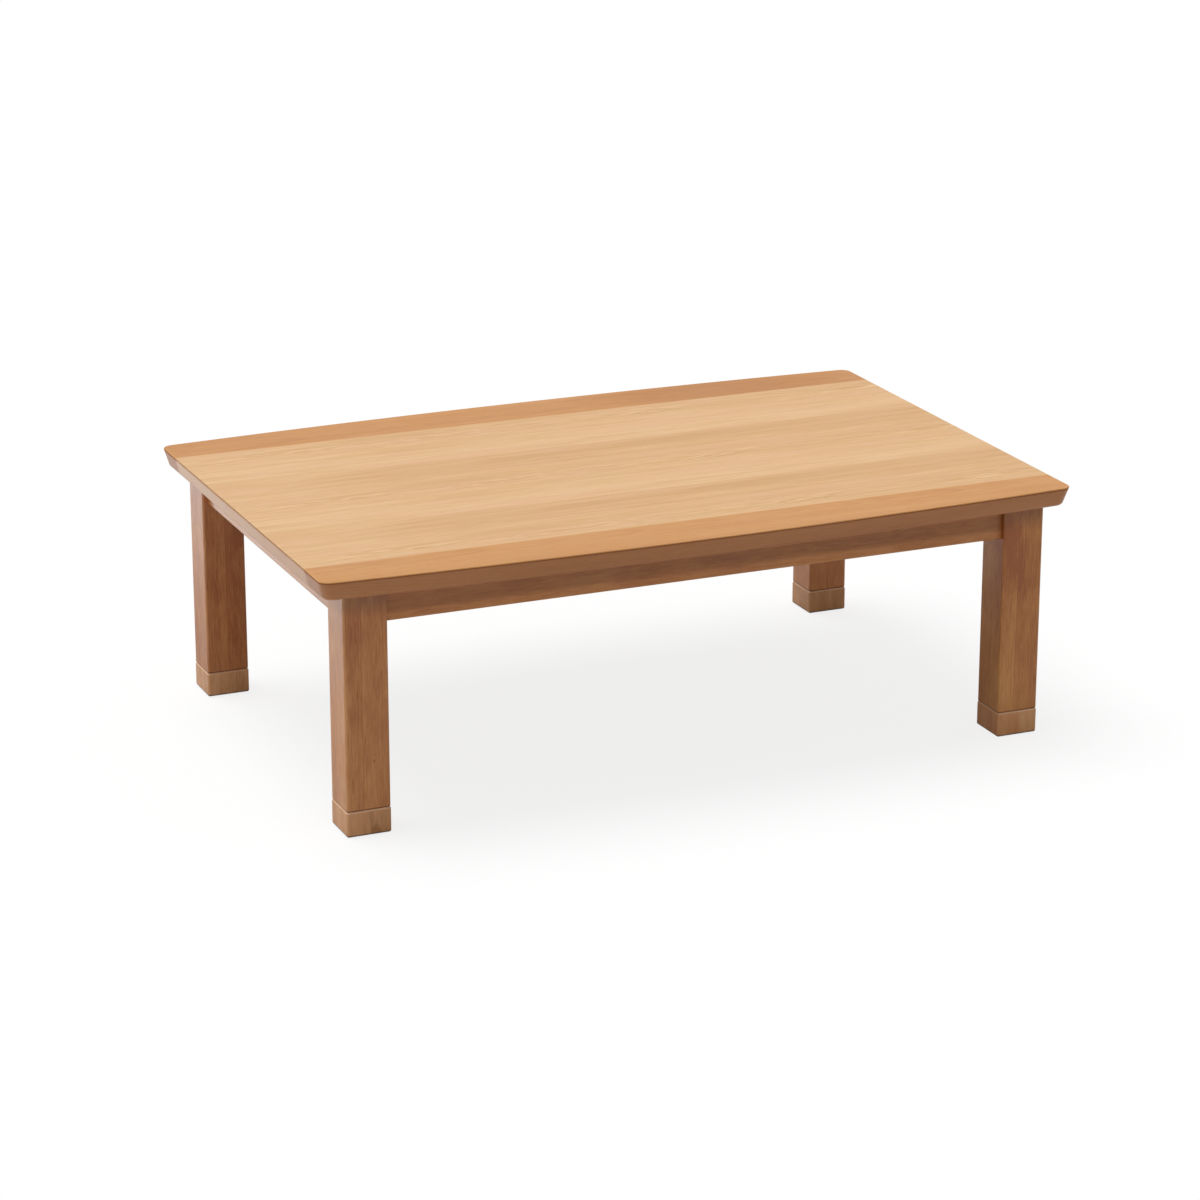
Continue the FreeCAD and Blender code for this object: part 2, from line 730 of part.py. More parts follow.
def build_aprons():
    """Set an apron between each pair of legs, drilled for the bracket screws and the bar dowels."""
    pilot = cylinder("bracket_screw_drill", "screw_radius + snug_gap", "screw_length + overrun")
    socket = cylinder("dowel_drill", "dowel_radius + snug_gap", "dowel_in_apron + overrun")
    mouth = "apron_thickness + overrun"
    levels = [f"(apron_height {sign} bracket_screw_spread) / 2" for sign in "+-"]
    dowel_level = "(apron_height - bar_drop - bar_height / 2)"
    dowel_places = [f"{side}({BAR_AXIS} {sign} dowel_spread / 2)" for side in ("", "-") for sign in "+-"]
    for name, length, reach, has_bars, x, y, turn in (
            ("front", LONG_APRON, APRON_INNER_X, True, "0", f"-{APRON_OUTER_Y}", 0),
            ("right", SHORT_APRON, APRON_INNER_Y, False, APRON_OUTER_X, "0", QUARTER_TURN),
            ("back", LONG_APRON, APRON_INNER_X, True, "0", APRON_OUTER_Y, HALF_TURN),
            ("left", SHORT_APRON, APRON_INNER_Y, False, f"-{APRON_OUTER_X}", "0", -QUARTER_TURN)):
        blank = apron_blank(f"apron_blank_{name}", length)
        holes = [copies(f"apron_pilots_{name}", pilot, [
            (f"{side}({reach} - {BRACKET_SCREW_PLACE})", mouth, level, 0)
            for side in ("", "-") for level in levels], AGAINST_Y)]
        if has_bars:
            holes.append(copies(f"apron_sockets_{name}", socket, [
                (spot, mouth, dowel_level, 0) for spot in dowel_places], AGAINST_Y))
        piece = cut(f"apron_{name}", blank, gather(f"apron_holes_{name}", holes))
        node(place(piece, x, y, APRON_BOTTOM, turn=turn))


def bracket_original():
    """Bend a steel plate across the corner: a diagonal web with a flange along each apron."""
    body = new("PartDesign::Body", "bracket_blank")
    end = "(bracket_reach + bracket_flange)"
    inner_bend = "(bracket_reach + bracket_thickness * (sqrt(2) - 1))"
    outline = polygon(new_sketch(body, "plan"), [
        (end, "0"), (end, "bracket_thickness"), (inner_bend, "bracket_thickness"),
        ("bracket_thickness", inner_bend), ("bracket_thickness", end), ("0", end),
        ("0", "bracket_reach"), ("bracket_reach", "0")])
    pad(body, outline, "bracket_height")
    hole = cylinder("bracket_screw_hole", "screw_radius + snug_gap", "2 * bracket_flange")
    levels = [f"(bracket_height {sign} bracket_screw_spread) / 2" for sign in "+-"]
    long_side = copies("bracket_holes_along_y", hole, [
        (BRACKET_SCREW_PLACE, "-bracket_thickness", level, 0) for level in levels], ALONG_Y)
    short_side = copies("bracket_holes_along_x", hole, [
        ("-bracket_thickness", BRACKET_SCREW_PLACE, level, 0) for level in levels], ALONG_X)
    bolt_hole = cylinder("bracket_bolt_hole", "bolt_radius + loose_gap", f"{BOLT_END}")
    place(bolt_hole, z="bracket_height / 2", rotation=ALONG_DIAGONAL)
    return cut("bracket_original", body, gather("bracket_holes", [long_side, short_side, bolt_hole]))


def wing_nut_original():
    """Shape a wing nut that stands on Z = 0 about its bore."""
    body = new("PartDesign::Body", "wing_nut_original")
    hub = polygon(new_sketch(body, "hub", "XZ_Plane"), [
        ("bolt_radius + snug_gap", "0"), ("nut_radius", "0"), ("nut_radius - nut_taper", "nut_height"),
        ("bolt_radius + snug_gap", "nut_height")])
    revolve(body, hub)
    root = "(nut_radius - 2 * nut_taper)"
    wings = new_sketch(body, "wings", "XZ_Plane")
    for side in ("", "-"):
        polygon(wings, [
            (f"{side}{root}", "nut_taper"), (f"{side}wing_reach * wing_knee_share", "nut_height / 2"),
            (f"{side}wing_reach", "wing_rise * wing_knee_share"), (f"{side}wing_reach", "wing_rise"),
            (f"{side}wing_reach * wing_knee_share", "wing_rise"),
            (f"{side}{root}", "nut_height - nut_taper")])
    pad(body, wings, "wing_thickness", midplane=True)
    fillet(body, lambda edge: runs_y(edge) and edge.BoundBox.ZMax > reading("nut_height"),
           "wing_thickness / 2")
    return body


def build_corner_hardware():
    """Screw a bracket into each corner and draw the leg to it with a hanger bolt and wing nut."""
    level = f"({BOLT_LEVEL} - bracket_height / 2)"
    node(copies("corner_brackets", bracket_original(), corners(APRON_INNER_X, APRON_INNER_Y, level)))
    original = screw("bracket_screw_original", "screw_radius", "screw_length")
    heights = [f"{sign}bracket_screw_spread / 2" for sign in ("", "-")]
    along_y = copies("corner_screws_along_y", original, [
        (BRACKET_SCREW_PLACE, "bracket_thickness", height, 0) for height in heights], ALONG_Y)
    along_x = copies("corner_screws_along_x", original, [
        ("bracket_thickness", BRACKET_SCREW_PLACE, height, 0) for height in heights], ALONG_X)
    corner_set = gather("corner_screw_set", [along_y, along_x])
    places = corners(APRON_INNER_X, APRON_INNER_Y, BOLT_LEVEL)
    node(copies("bracket_screws", corner_set, places))
    bolt = turned_piece("hanger_bolt_original", [
        ("0", BOLT_START), ("bolt_radius", f"{BOLT_START} + bolt_tip"),
        ("bolt_radius", f"{BOLT_END} - stud_chamfer"), ("bolt_radius - stud_chamfer", BOLT_END),
        ("0", BOLT_END)])
    node(copies("hanger_bolts", bolt, places, ALONG_DIAGONAL))
    washer = ring("washer_original", "bolt_radius + loose_gap", "washer_radius", WEB_INNER, NUT_START)
    node(copies("bolt_washers", washer, places, ALONG_DIAGONAL))
    nut = copies("wing_nut_raised", wing_nut_original(), [("0", "0", NUT_START, QUARTER_TURN)])
    node(copies("wing_nuts", nut, places, ALONG_DIAGONAL))
    cushion = rod("cushion_original", "cushion_radius", "0", "cushion_thickness",
                  "cushion_chamfer", "cushion_chamfer")
    apron_middle = f"({APRON_OUTER_Y} - apron_thickness / 2)"
    spots = corners(LEG_X, LEG_Y, FRAME_TOP)
    spots += [("0", f"{side}{apron_middle}", FRAME_TOP, 0) for side in ("-", "")]
    node(copies("frame_cushions", cushion, spots))


def bar_blank(label, low, high, long_edges):
    """Shape a wooden bar with its long edges rounded."""
    body = new("PartDesign::Body", label)
    pad(body, rectangle(new_sketch(body, "plan"), low[0], low[1], high[0], high[1]), "bar_height")
    fillet(body, long_edges, "bar_edge_radius")
    return body


def build_heater_carrier():
    """Dowel two crossbars between the long aprons and screw two ties between them."""
    bar_end = f"({APRON_INNER_Y} + overrun)"
    dowel_drill = cylinder("bar_dowel_drill", "dowel_radius + snug_gap", "dowel_in_bar + overrun")
    along_y = copies("bar_dowel_drills", dowel_drill, [
        (f"{BAR_AXIS} {sign} dowel_spread / 2", f"{side}{bar_end}", "bar_height / 2", turn)
        for sign in "+-" for side, turn in (("-", 0), ("", HALF_TURN))], ALONG_Y)
    tie_drill = cylinder("tie_screw_drill", "tie_screw_radius + snug_gap", "tie_screw_length + overrun")
    tie_places = [(f"{BAR_OUTER} + overrun", f"{side}{TIE_AXIS}", "bar_height / 2", HALF_TURN)
                  for side in ("-", "")]
    along_x = copies("bar_tie_drills", tie_drill, tie_places, ALONG_X)
    relief = cylinder("heater_screw_drill", "screw_radius + snug_gap", "screw_length + overrun")
    upward = copies("bar_heater_drills", relief, [
        (FLANGE_SCREW_PLACE, spot, "-overrun", 0)
        for spot in ("-mount_screw_reach", "0", "mount_screw_reach")])
    blank = bar_blank("crossbar_blank", (BAR_INNER, f"-{APRON_INNER_Y}"),
                      (BAR_OUTER, APRON_INNER_Y), runs_y)
    bar = cut("crossbar_original", blank, gather("crossbar_holes", [along_y, along_x, upward]))
    node(copies("crossbar_right", bar, [("0", "0", BAR_BOTTOM, 0)]))
    node(copies("crossbar_left", bar, [("0", "0", BAR_BOTTOM, HALF_TURN)]))
    tie_outer = f"({BAR_INNER} + tie_width)"
    blank = bar_blank("tie_blank", (f"-{BAR_INNER}", f"-{tie_outer}"), (BAR_INNER, f"-{BAR_INNER}"), runs_x)
    ends = [(f"{side}({BAR_OUTER} + overrun)", f"-{TIE_AXIS}", "bar_height / 2", turn)
            for side, turn in (("", HALF_TURN), ("-", 0))]
    end_drills = copies("tie_end_drills", tie_drill, ends, ALONG_X)
    guard_drill = copies("tie_guard_drill", relief, [("0", f"-{FLANGE_SCREW_PLACE}", "-overrun", 0)])
    tie = cut("tie_original", blank, gather("tie_holes", [end_drills, guard_drill]))
    node(copies("tie_front", tie, [("0", "0", BAR_BOTTOM, 0)]))
    node(copies("tie_back", tie, [("0", "0", BAR_BOTTOM, HALF_TURN)]))
    dowel = rod("dowel_original", "dowel_radius", "(-dowel_in_apron)", "dowel_in_bar",
                "dowel_chamfer", "dowel_chamfer")
    node(copies("crossbar_dowels", dowel, [
        (f"{bar}({BAR_AXIS} {sign} dowel_spread / 2)", f"{side}{APRON_INNER_Y}", BAR_MIDDLE, turn)
        for bar in ("", "-") for sign in "+-" for side, turn in (("-", 0), ("", HALF_TURN))], ALONG_Y))
    tie_screw = screw("tie_screw_original", "tie_screw_radius", "tie_screw_length")
    node(copies("tie_screws", tie_screw, [
        (f"{bar}{BAR_OUTER}", f"{side}{TIE_AXIS}", BAR_MIDDLE, turn)
        for bar, turn in (("", 0), ("-", HALF_TURN)) for side in ("-", "")], ALONG_X))


def sink_holes(body, name, places, radius, depth, offset="0", upward=True):
    """Sink round holes into a body at places given as pairs of expressions."""
    sketch = new_sketch(body, name, offset=offset)
    for x, y in places:
        circle(sketch, x, y, radius)
    return pocket(body, sketch, depth, upward=upward)


MOUNT_SCREW_SPOTS = [(f"{side}{FLANGE_SCREW_PLACE}", f"{end}mount_screw_reach")
                     for side in ("-", "") for end in ("-", "")]
GUARD_SCREW_SPOTS = [(f"-{FLANGE_SCREW_PLACE}", "0"), (FLANGE_SCREW_PLACE, "0"),
                     ("0", f"-{FLANGE_SCREW_PLACE}"), ("0", FLANGE_SCREW_PLACE)]
MOTOR_SCREW_SPOTS = [("-motor_screw_place", "0"), ("motor_screw_place", "0")]


def build_housing():
    """Press the heater housing: an open box with a flange under the bars and vents in its top."""
    body = new("PartDesign::Body", "heater_housing")
    shell = rounded_square(new_sketch(body, "shell"), HEATER_HALF, "heater_corner_radius")
    pad(body, shell, HEATER_HEIGHT)
    fillet(body, at_level(HEATER_HEIGHT), "heater_top_radius")
    pad(body, square(new_sketch(body, "flange"), FLANGE_HALF), "heater_wall")
    hollow = rounded_square(new_sketch(body, "hollow"), HOUSING_INNER_HALF,
                            "heater_corner_radius - heater_wall")
    pocket(body, hollow, f"{HEATER_HEIGHT} - heater_wall", upward=True)
    sink_holes(body, "flange_holes", MOUNT_SCREW_SPOTS + GUARD_SCREW_SPOTS,
               "screw_radius + snug_gap", "heater_wall")
    sink_holes(body, "motor_holes", MOTOR_SCREW_SPOTS, "screw_radius + snug_gap", "heater_wall",
               f"{HEATER_HEIGHT} - heater_wall")
    vents = new_sketch(body, "vents", offset=f"{HEATER_HEIGHT} - heater_wall")
    first = "(vent_pitch * (vent_count - 1) / 2)"
    for side in ("-", ""):
        rectangle(vents, f"{side}vent_place - vent_length / 2", f"-{first} - vent_width / 2",
                  f"{side}vent_place + vent_length / 2", f"vent_width / 2 - {first}")
    slots = pattern(body, "PartDesign::LinearPattern", pocket(body, vents, "heater_wall", upward=True),
                    "Y_Axis", "vent_count")
    bind(slots, Length="vent_pitch * (vent_count - 1)")
    node(place(body, z=HEATER_BASE))


def build_reflector():
    """Fold the bright tray above the tubes, open below, with air slots round the motor shaft."""
    body = new("PartDesign::Body", "heater_reflector")
    tray = rounded_square(new_sketch(body, "tray"), REFLECTOR_HALF, "reflector_corner_radius")
    pad(body, tray, "reflector_height")
    hollow = rounded_square(new_sketch(body, "hollow"), f"({REFLECTOR_HALF} - reflector_wall)",
                            "reflector_corner_radius - reflector_wall")
    pocket(body, hollow, "reflector_height - reflector_wall", upward=True)
    plate = "reflector_height - reflector_wall"
    sink_holes(body, "shaft_hole", [("0", "0")], "shaft_hole_radius", "reflector_wall", plate)
    slot = rectangle(new_sketch(body, "air_slot", offset=plate), "air_slot_place", "-air_slot_width / 2",
                     "air_slot_place + air_slot_length", "air_slot_width / 2")
    slots = pattern(body, "PartDesign::PolarPattern", pocket(body, slot, "reflector_wall", upward=True),
                    "Z_Axis", "air_slot_count")
    slots.Angle = FULL_TURN
    node(place(body, z=HEATER_BASE))


def build_tubes():
    """Hang two heating tubes, with their elements, end caps and clips, below the reflector."""
    half = "(tube_length / 2)"
    tube = ring("tube_original", "tube_radius - tube_wall", "tube_radius", f"-{half}", half)
    for name, side in (("front", "-"), ("back", "")):
        node(copies(f"heating_tube_{name}", tube, [("0", f"{side}tube_offset", TUBE_LEVEL, 0)], ALONG_X))
    both = [("0", f"{side}tube_offset", TUBE_LEVEL, 0) for side in ("-", "")]
    reach = f"({half} + element_in_cap)"
    element = rod("element_original", "element_radius", f"(-{reach})", reach,
                  "element_chamfer", "element_chamfer")
    node(copies("heating_elements", element, both, ALONG_X))
    bore_end = f"({reach} + overrun)"
    cap = turned_piece("cap_original", [
        ("tube_radius + snug_gap", CAP_START), ("cap_radius", CAP_START),
        ("cap_radius", f"{CAP_END} - cap_chamfer"),
        ("cap_radius - cap_chamfer", CAP_END), ("0", CAP_END), ("0", bore_end),
        ("element_radius + snug_gap", bore_end), ("element_radius + snug_gap", half),
        ("tube_radius + snug_gap", half)])
    ends = [("0", f"{side}tube_offset", TUBE_LEVEL, turn) for side in ("-", "") for turn in (0, HALF_TURN)]
    node(copies("tube_end_caps", cap, ends, ALONG_X))
    plate_x = f"({half} + clip_thickness)"
    rise = f"({PLATE_UNDERSIDE} - {TUBE_LEVEL})"
    upright = box("clip_upright", (plate_x, "-clip_width / 2", "-clip_below"),
                  (f"{plate_x} + clip_thickness", "clip_width / 2", rise))
    tab = box("clip_tab", (f"{plate_x} - clip_tab", "-clip_width / 2", f"{rise} - clip_thickness"),
              (plate_x, "clip_width / 2", rise))
    bent = new("Part::Fuse", "clip_bent")
    bent.Base = upright
    bent.Tool = tab
    hole = cylinder("clip_hole", "cap_radius + snug_gap", "tube_length")
    place(hole, rotation=ALONG_X)
    clip = cut("clip_original", bent, hole)
    node(copies("tube_clips", clip, ends))


def build_fan():
    """Hang the motor from the housing top and the fan wheel on the motor's shaft."""
    bore = "(shaft_radius + running_gap)"
    bore_end = f"({MOTOR_BOTTOM} + motor_bore_depth)"
    motor = new("PartDesign::Body", "fan_motor")
    revolve(motor, polygon(new_sketch(motor, "section", "XZ_Plane"), [
        (bore, f"{MOTOR_BOTTOM} - motor_boss_height"),
        ("motor_boss_radius", f"{MOTOR_BOTTOM} - motor_boss_height"),
        ("motor_boss_radius", MOTOR_BOTTOM), ("motor_radius - motor_edge_chamfer", MOTOR_BOTTOM),
        ("motor_radius", f"{MOTOR_BOTTOM} + motor_edge_chamfer"), ("motor_radius", MOTOR_TOP),
        ("0", MOTOR_TOP), ("0", bore_end), (bore, bore_end)]))
    sink_holes(motor, "screw_holes", MOTOR_SCREW_SPOTS, "screw_radius + snug_gap", "motor_screw_length",
               MOTOR_TOP, upward=False)
    node(motor)
    motor_screw = screw("motor_screw_original", "screw_radius", "motor_screw_length")
    node(copies("motor_screws", motor_screw, [(x, y, BAR_TOP, 0) for x, y in MOTOR_SCREW_SPOTS]))
    node(rod("fan_shaft", "shaft_radius", f"({FAN_BOTTOM} + fan_plate)", f"({bore_end} - seat_gap)",
             "shaft_chamfer", "shaft_chamfer"))
    wheel = new("PartDesign::Body", "fan_wheel")
    disc_bottom = "(fan_height - fan_plate)"
    shaft_fit = "(shaft_radius + snug_gap)"
    revolve(wheel, polygon(new_sketch(wheel, "section", "XZ_Plane"), [
        (shaft_fit, "fan_plate"), ("0", "fan_plate"), ("0", "0"), ("fan_hub_radius", "0"),
        ("fan_hub_radius", disc_bottom), ("fan_radius", disc_bottom), ("fan_radius", "fan_height"),
        (shaft_fit, "fan_height")]))
    blade = rectangle(new_sketch(wheel, "blade"), "fan_hub_radius - fan_blade", "-fan_blade / 2",
                      "fan_radius - fan_blade", "fan_blade / 2")
    blades = pattern(wheel, "PartDesign::PolarPattern", pad(wheel, blade, f"{disc_bottom} + fan_plate / 2"),
                     "Z_Axis", "fan_blade_count")
    blades.Angle = FULL_TURN
    node(place(wheel, z=FAN_BOTTOM))


def lead(label, points):
    """Run a lead that starts along X through points, with a round quarter bend at each inner one."""
    level = reading(f"{PLATE_TOP} + fuse_radius")
    bend = reading("lead_bend_radius")
    middle_share = 1 - 1 / 2 ** 0.5
    spots = [FreeCAD.Vector(reading(x), reading(y), level) for x, y in points]
    pieces = []
    start = spots[0]
    for before, corner, after in zip(spots, spots[1:], spots[2:]):
        back = (before - corner).normalize() * bend
        onward = (after - corner).normalize() * bend
        pieces.append(Part.LineSegment(start, corner + back).toShape())
        middle = corner + (back + onward) * middle_share
        pieces.append(Part.Arc(corner + back, middle, corner + onward).toShape())
        start = corner + onward
    pieces.append(Part.LineSegment(start, spots[-1]).toShape())
    section = Part.Wire([Part.Circle(spots[0], X_AXIS, reading("lead_radius")).toShape()])
    feature = new("Part::Feature", label)
    feature.Shape = Part.Wire(pieces).makePipeShell([section], True, False)
    return feature


def build_controls():
    """Set the terminal block, thermostat and thermal fuse on the reflector, joined by leads."""
    block = new("PartDesign::Body", "terminal_block")
    half = "terminal_length / 2"
    pad(block, rectangle(new_sketch(block, "plan"), f"-{half}", "-terminal_depth / 2", half,
                         "terminal_depth / 2"), "terminal_height")
    spots = [(f"{step}terminal_pitch", "0") for step in ("-", "")] + [("0", "0")]
    sink_holes(block, "screw_wells", spots, "terminal_hole_radius", "terminal_hole_depth",
               "terminal_height", upward=False)
    node(place(block, "-control_place_x", "-control_place_y", PLATE_TOP))
    thermostat = turned_piece("thermostat", [
        ("0", "0"), ("thermostat_radius", "0"), ("thermostat_radius", "thermostat_height"),
        ("thermostat_cap_radius", "thermostat_height"),
        ("thermostat_cap_radius", "thermostat_height + thermostat_cap_height"),
        ("0", "thermostat_height + thermostat_cap_height")])
    node(place(thermostat, "control_place_x", "control_place_y", PLATE_TOP))
    fuse = turned_piece("thermal_fuse", [
        ("0", "-fuse_length / 2"), ("lead_radius", "-fuse_length / 2"),
        ("fuse_radius", "fuse_end_length - fuse_length / 2"), ("fuse_radius", "fuse_length / 2"),
        ("0", "fuse_length / 2")])
    node(place(fuse, "control_place_x", "-control_place_y", f"{PLATE_TOP} + fuse_radius", ALONG_X))
    fuse_row = "-control_place_y"
    fuse_end = "(control_place_x + fuse_length / 2)"
    loop = f"({fuse_end} + 2 * lead_bend_radius)"
    node(gather("internal_leads", [
        lead("lead_block_to_fuse", [(f"{half} - control_place_x", fuse_row),
                                    ("control_place_x - fuse_length / 2", fuse_row)]),
        lead("lead_fuse_to_thermostat", [
            (fuse_end, fuse_row), (loop, fuse_row), (loop, "control_place_y"),
            ("control_place_x + thermostat_radius", "control_place_y")]),
        lead("lead_thermostat_to_block", [
            ("control_place_x - thermostat_radius", "control_place_y"),
            ("-control_place_x", "control_place_y"),
            ("-control_place_x", "terminal_depth / 2 - control_place_y")]),
    ]))


def build_guard():
    """Form the guard: a slotted tray that hangs from a rim under the housing flange."""
    body = new("PartDesign::Body", "heater_guard")
    tray = rounded_square(new_sketch(body, "tray"), GUARD_HALF, "guard_corner_radius")
    pad(body, tray, "guard_depth", downward=True)
    fillet(body, at_level("-guard_depth"), "guard_bottom_radius")
    pad(body, square(new_sketch(body, "rim"), FLANGE_HALF), "guard_wall", downward=True)
    hollow = rounded_square(new_sketch(body, "hollow"), f"({GUARD_HALF} - guard_wall)",
                            "guard_corner_radius - guard_wall")
    pocket(body, hollow, "guard_depth - guard_wall")
    fillet(body, at_level("guard_wall - guard_depth"), "guard_bottom_radius - guard_wall")
    sink_holes(body, "screw_holes", GUARD_SCREW_SPOTS, "screw_radius + snug_gap", "guard_wall",
               upward=False)
    sink_holes(body, "head_holes", MOUNT_SCREW_SPOTS, "screw_head_radius + screw_head_room", "guard_wall",
               upward=False)
    floor_slots = new_sketch(body, "floor_slots", offset="-guard_depth")
    floor_count = f"(2 * floor({FLOOR_SLOT_ROOM} / guard_slot_pitch) + 1)"
    first = f"(guard_slot_pitch * ({floor_count} - 1) / 2)"
    for low, high in ((f"-{SLOT_REACH}", "-guard_rib_width / 2"), ("guard_rib_width / 2", SLOT_REACH)):
        rectangle(floor_slots, f"-{first} - guard_slot_width / 2", low,
                  f"guard_slot_width / 2 - {first}", high)
    slots = pattern(body, "PartDesign::LinearPattern", pocket(body, floor_slots, "guard_wall", upward=True),
                    "X_Axis", floor_count)
    bind(slots, Length=f"guard_slot_pitch * ({floor_count} - 1)")
    side_count = f"(2 * floor({SIDE_SLOT_ROOM} / guard_slot_pitch) + 1)"
    side_first = f"(guard_slot_pitch * ({side_count} - 1) / 2)"
    for plane, direction in (("XZ_Plane", "X_Axis"), ("YZ_Plane", "Y_Axis")):
        side = new_sketch(body, f"side_slots_{direction[0]}", plane)
        rectangle(side, f"-{side_first} - guard_slot_width / 2", "guard_side_slot_margin - guard_depth",
                  f"guard_slot_width / 2 - {side_first}", "-guard_side_slot_margin")
        slots = pattern(body, "PartDesign::LinearPattern",
                        pocket(body, side, f"2 * {GUARD_HALF} + overrun", midplane=True),
                        direction, side_count)
        bind(slots, Length=f"guard_slot_pitch * ({side_count} - 1)")
    node(place(body, z=HEATER_BASE))
    guard_screw = screw("guard_screw_original", "screw_radius", "guard_screw_length")
    guard_places = [(x, y, f"{HEATER_BASE} - guard_wall", 0) for x, y in GUARD_SCREW_SPOTS]
    node(copies("guard_screws", guard_screw, guard_places, UPSIDE_DOWN))
    heater_screw = screw("heater_screw_original", "screw_radius", "screw_length")
    heater_places = [(x, y, HEATER_BASE, 0) for x, y in MOUNT_SCREW_SPOTS]
    node(copies("heater_screws", heater_screw, heater_places, UPSIDE_DOWN))


def build_inlet():
    """Set the power inlet under the rim, against the guard, with its mouth facing back."""
    body = new("PartDesign::Body", "power_inlet")
    pad(body, rectangle(new_sketch(body, "plan"), "-inlet_width / 2", "0", "inlet_width / 2",
                        "inlet_depth"), "inlet_height", midplane=True)
    fillet(body, runs_y, "inlet_edge_radius")
    mouth = new_sketch(body, "mouth", "XZ_Plane", "-inlet_depth")
    rectangle(mouth, "-inlet_mouth_width / 2", "-inlet_mouth_height / 2",
              "inlet_mouth_width / 2", "inlet_mouth_height / 2")
    pocket(body, mouth, "inlet_mouth_depth", upward=True)
    mouth_half = reading("inlet_mouth_width / 2") + SAME_PLACE
    fillet(body, lambda edge: runs_y(edge) and abs(edge.Vertexes[0].Point.x) < mouth_half,
           "inlet_edge_radius")
    holes = new_sketch(body, "pin_holes", "XZ_Plane", "-(inlet_depth - inlet_mouth_depth)")
    for side in ("-", ""):
        circle(holes, f"{side}pin_pitch / 2", "0", "pin_radius + snug_gap")
    pocket(body, holes, "pin_root", upward=True)
    node(place(body, INLET_PLACE, GUARD_HALF, INLET_LEVEL))
    root = "(inlet_depth - inlet_mouth_depth - pin_root)"
    pin = rod("inlet_pin_original", "pin_radius", root, "(inlet_depth - pin_shy)",
              "pin_chamfer", "pin_chamfer")
    node(copies("inlet_pins", pin, [
        (f"{INLET_PLACE} {sign} pin_pitch / 2", GUARD_HALF, INLET_LEVEL, 0) for sign in "+-"], ALONG_Y))


def check_and_write():
    """Check every feature and every piece, then write one file for each piece."""
    DOC.removeObject(GAUGE.Name)
    DOC.recompute()
    for feature in DOC.Objects:
        if "Invalid" in feature.State or "Error" in feature.State:
            raise RuntimeError(f"{feature.Label} failed: {feature.State}")
    for piece in NODES:
        if piece.Shape.isNull() or not piece.Shape.isValid() or not piece.Shape.Solids:
            raise RuntimeError(f"{piece.Label} has no valid solid")
    os.makedirs("parts", exist_ok=True)
    for piece in NODES:
        piece.Shape.exportStep(f"parts/{piece.Label}.step")
        print(piece.Label, len(piece.Shape.Solids), "solids", round(piece.Shape.Volume), "mm3")


def main():
    """Build the whole table, piece by piece, and write it."""
    fill_sheet()
    build_tabletop()
    build_legs_and_feet()
    build_aprons()
    build_corner_hardware()
    build_heater_carrier()
    build_housing()
    build_reflector()
    build_tubes()
    build_fan()
    build_controls()
    build_guard()
    build_inlet()
    check_and_write()


main()
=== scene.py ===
"""The looks of a low heated table: finishes, detailed fastenings, wound heating wires and the stage."""

import math
from collections import namedtuple

import bpy
import numpy as np
from bpy.props import FloatProperty, FloatVectorProperty, IntProperty, PointerProperty
from bpy.types import Operator, Panel, PropertyGroup
from mathutils import Euler, Matrix, Vector


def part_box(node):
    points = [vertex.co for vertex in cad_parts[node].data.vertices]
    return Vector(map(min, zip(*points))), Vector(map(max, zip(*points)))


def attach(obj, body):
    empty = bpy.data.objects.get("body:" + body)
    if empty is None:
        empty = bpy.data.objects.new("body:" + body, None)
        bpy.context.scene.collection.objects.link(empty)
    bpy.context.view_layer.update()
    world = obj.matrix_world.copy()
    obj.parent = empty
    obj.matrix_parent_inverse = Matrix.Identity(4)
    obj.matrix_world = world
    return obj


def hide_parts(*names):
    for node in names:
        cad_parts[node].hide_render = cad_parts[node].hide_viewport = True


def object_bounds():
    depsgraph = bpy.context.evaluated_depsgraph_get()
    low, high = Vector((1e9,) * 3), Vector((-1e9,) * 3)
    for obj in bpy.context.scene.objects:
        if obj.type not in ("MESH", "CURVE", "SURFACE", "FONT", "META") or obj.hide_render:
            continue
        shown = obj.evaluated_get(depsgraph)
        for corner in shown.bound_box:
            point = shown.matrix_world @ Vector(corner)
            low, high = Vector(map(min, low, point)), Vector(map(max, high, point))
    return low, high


bl_info = {
    "name": "Low heated table",
    "version": (1, 0, 0),
    "blender": (4, 5, 0),
    "location": "View3D > Sidebar > Heated table",
    "description": "Gives every piece of a low heated table its finish and models its small fastenings",
    "category": "Object",
}

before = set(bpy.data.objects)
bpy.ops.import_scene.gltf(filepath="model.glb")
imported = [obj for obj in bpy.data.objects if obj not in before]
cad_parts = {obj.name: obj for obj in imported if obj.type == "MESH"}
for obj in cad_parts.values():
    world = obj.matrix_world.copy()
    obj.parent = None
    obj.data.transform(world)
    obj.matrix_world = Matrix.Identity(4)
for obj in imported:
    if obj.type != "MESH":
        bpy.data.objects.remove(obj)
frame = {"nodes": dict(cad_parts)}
CAD_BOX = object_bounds()

MM = 0.001
CORNERS = ("front_left", "front_right", "back_right", "back_left")
QUARTER_TURN = math.pi / 2
ALONG_X = (0.0, 0.0, 0.0)
ALONG_Y = (0.0, 0.0, QUARTER_TURN)
ALONG_Z = (0.0, -QUARTER_TURN, 0.0)
# A Mix node has several sockets of each name; these are its colour sockets
MIX_FIRST, MIX_SECOND, MIX_RESULT = 6, 7, 2
SCREW_SIDES, ROD_SIDES, FAN_SIDES = 20, 24, 72
DIAGONALS = (np.array((1.0, 1.0, 0.0)) / math.sqrt(2), np.array((1.0, -1.0, 0.0)) / math.sqrt(2))


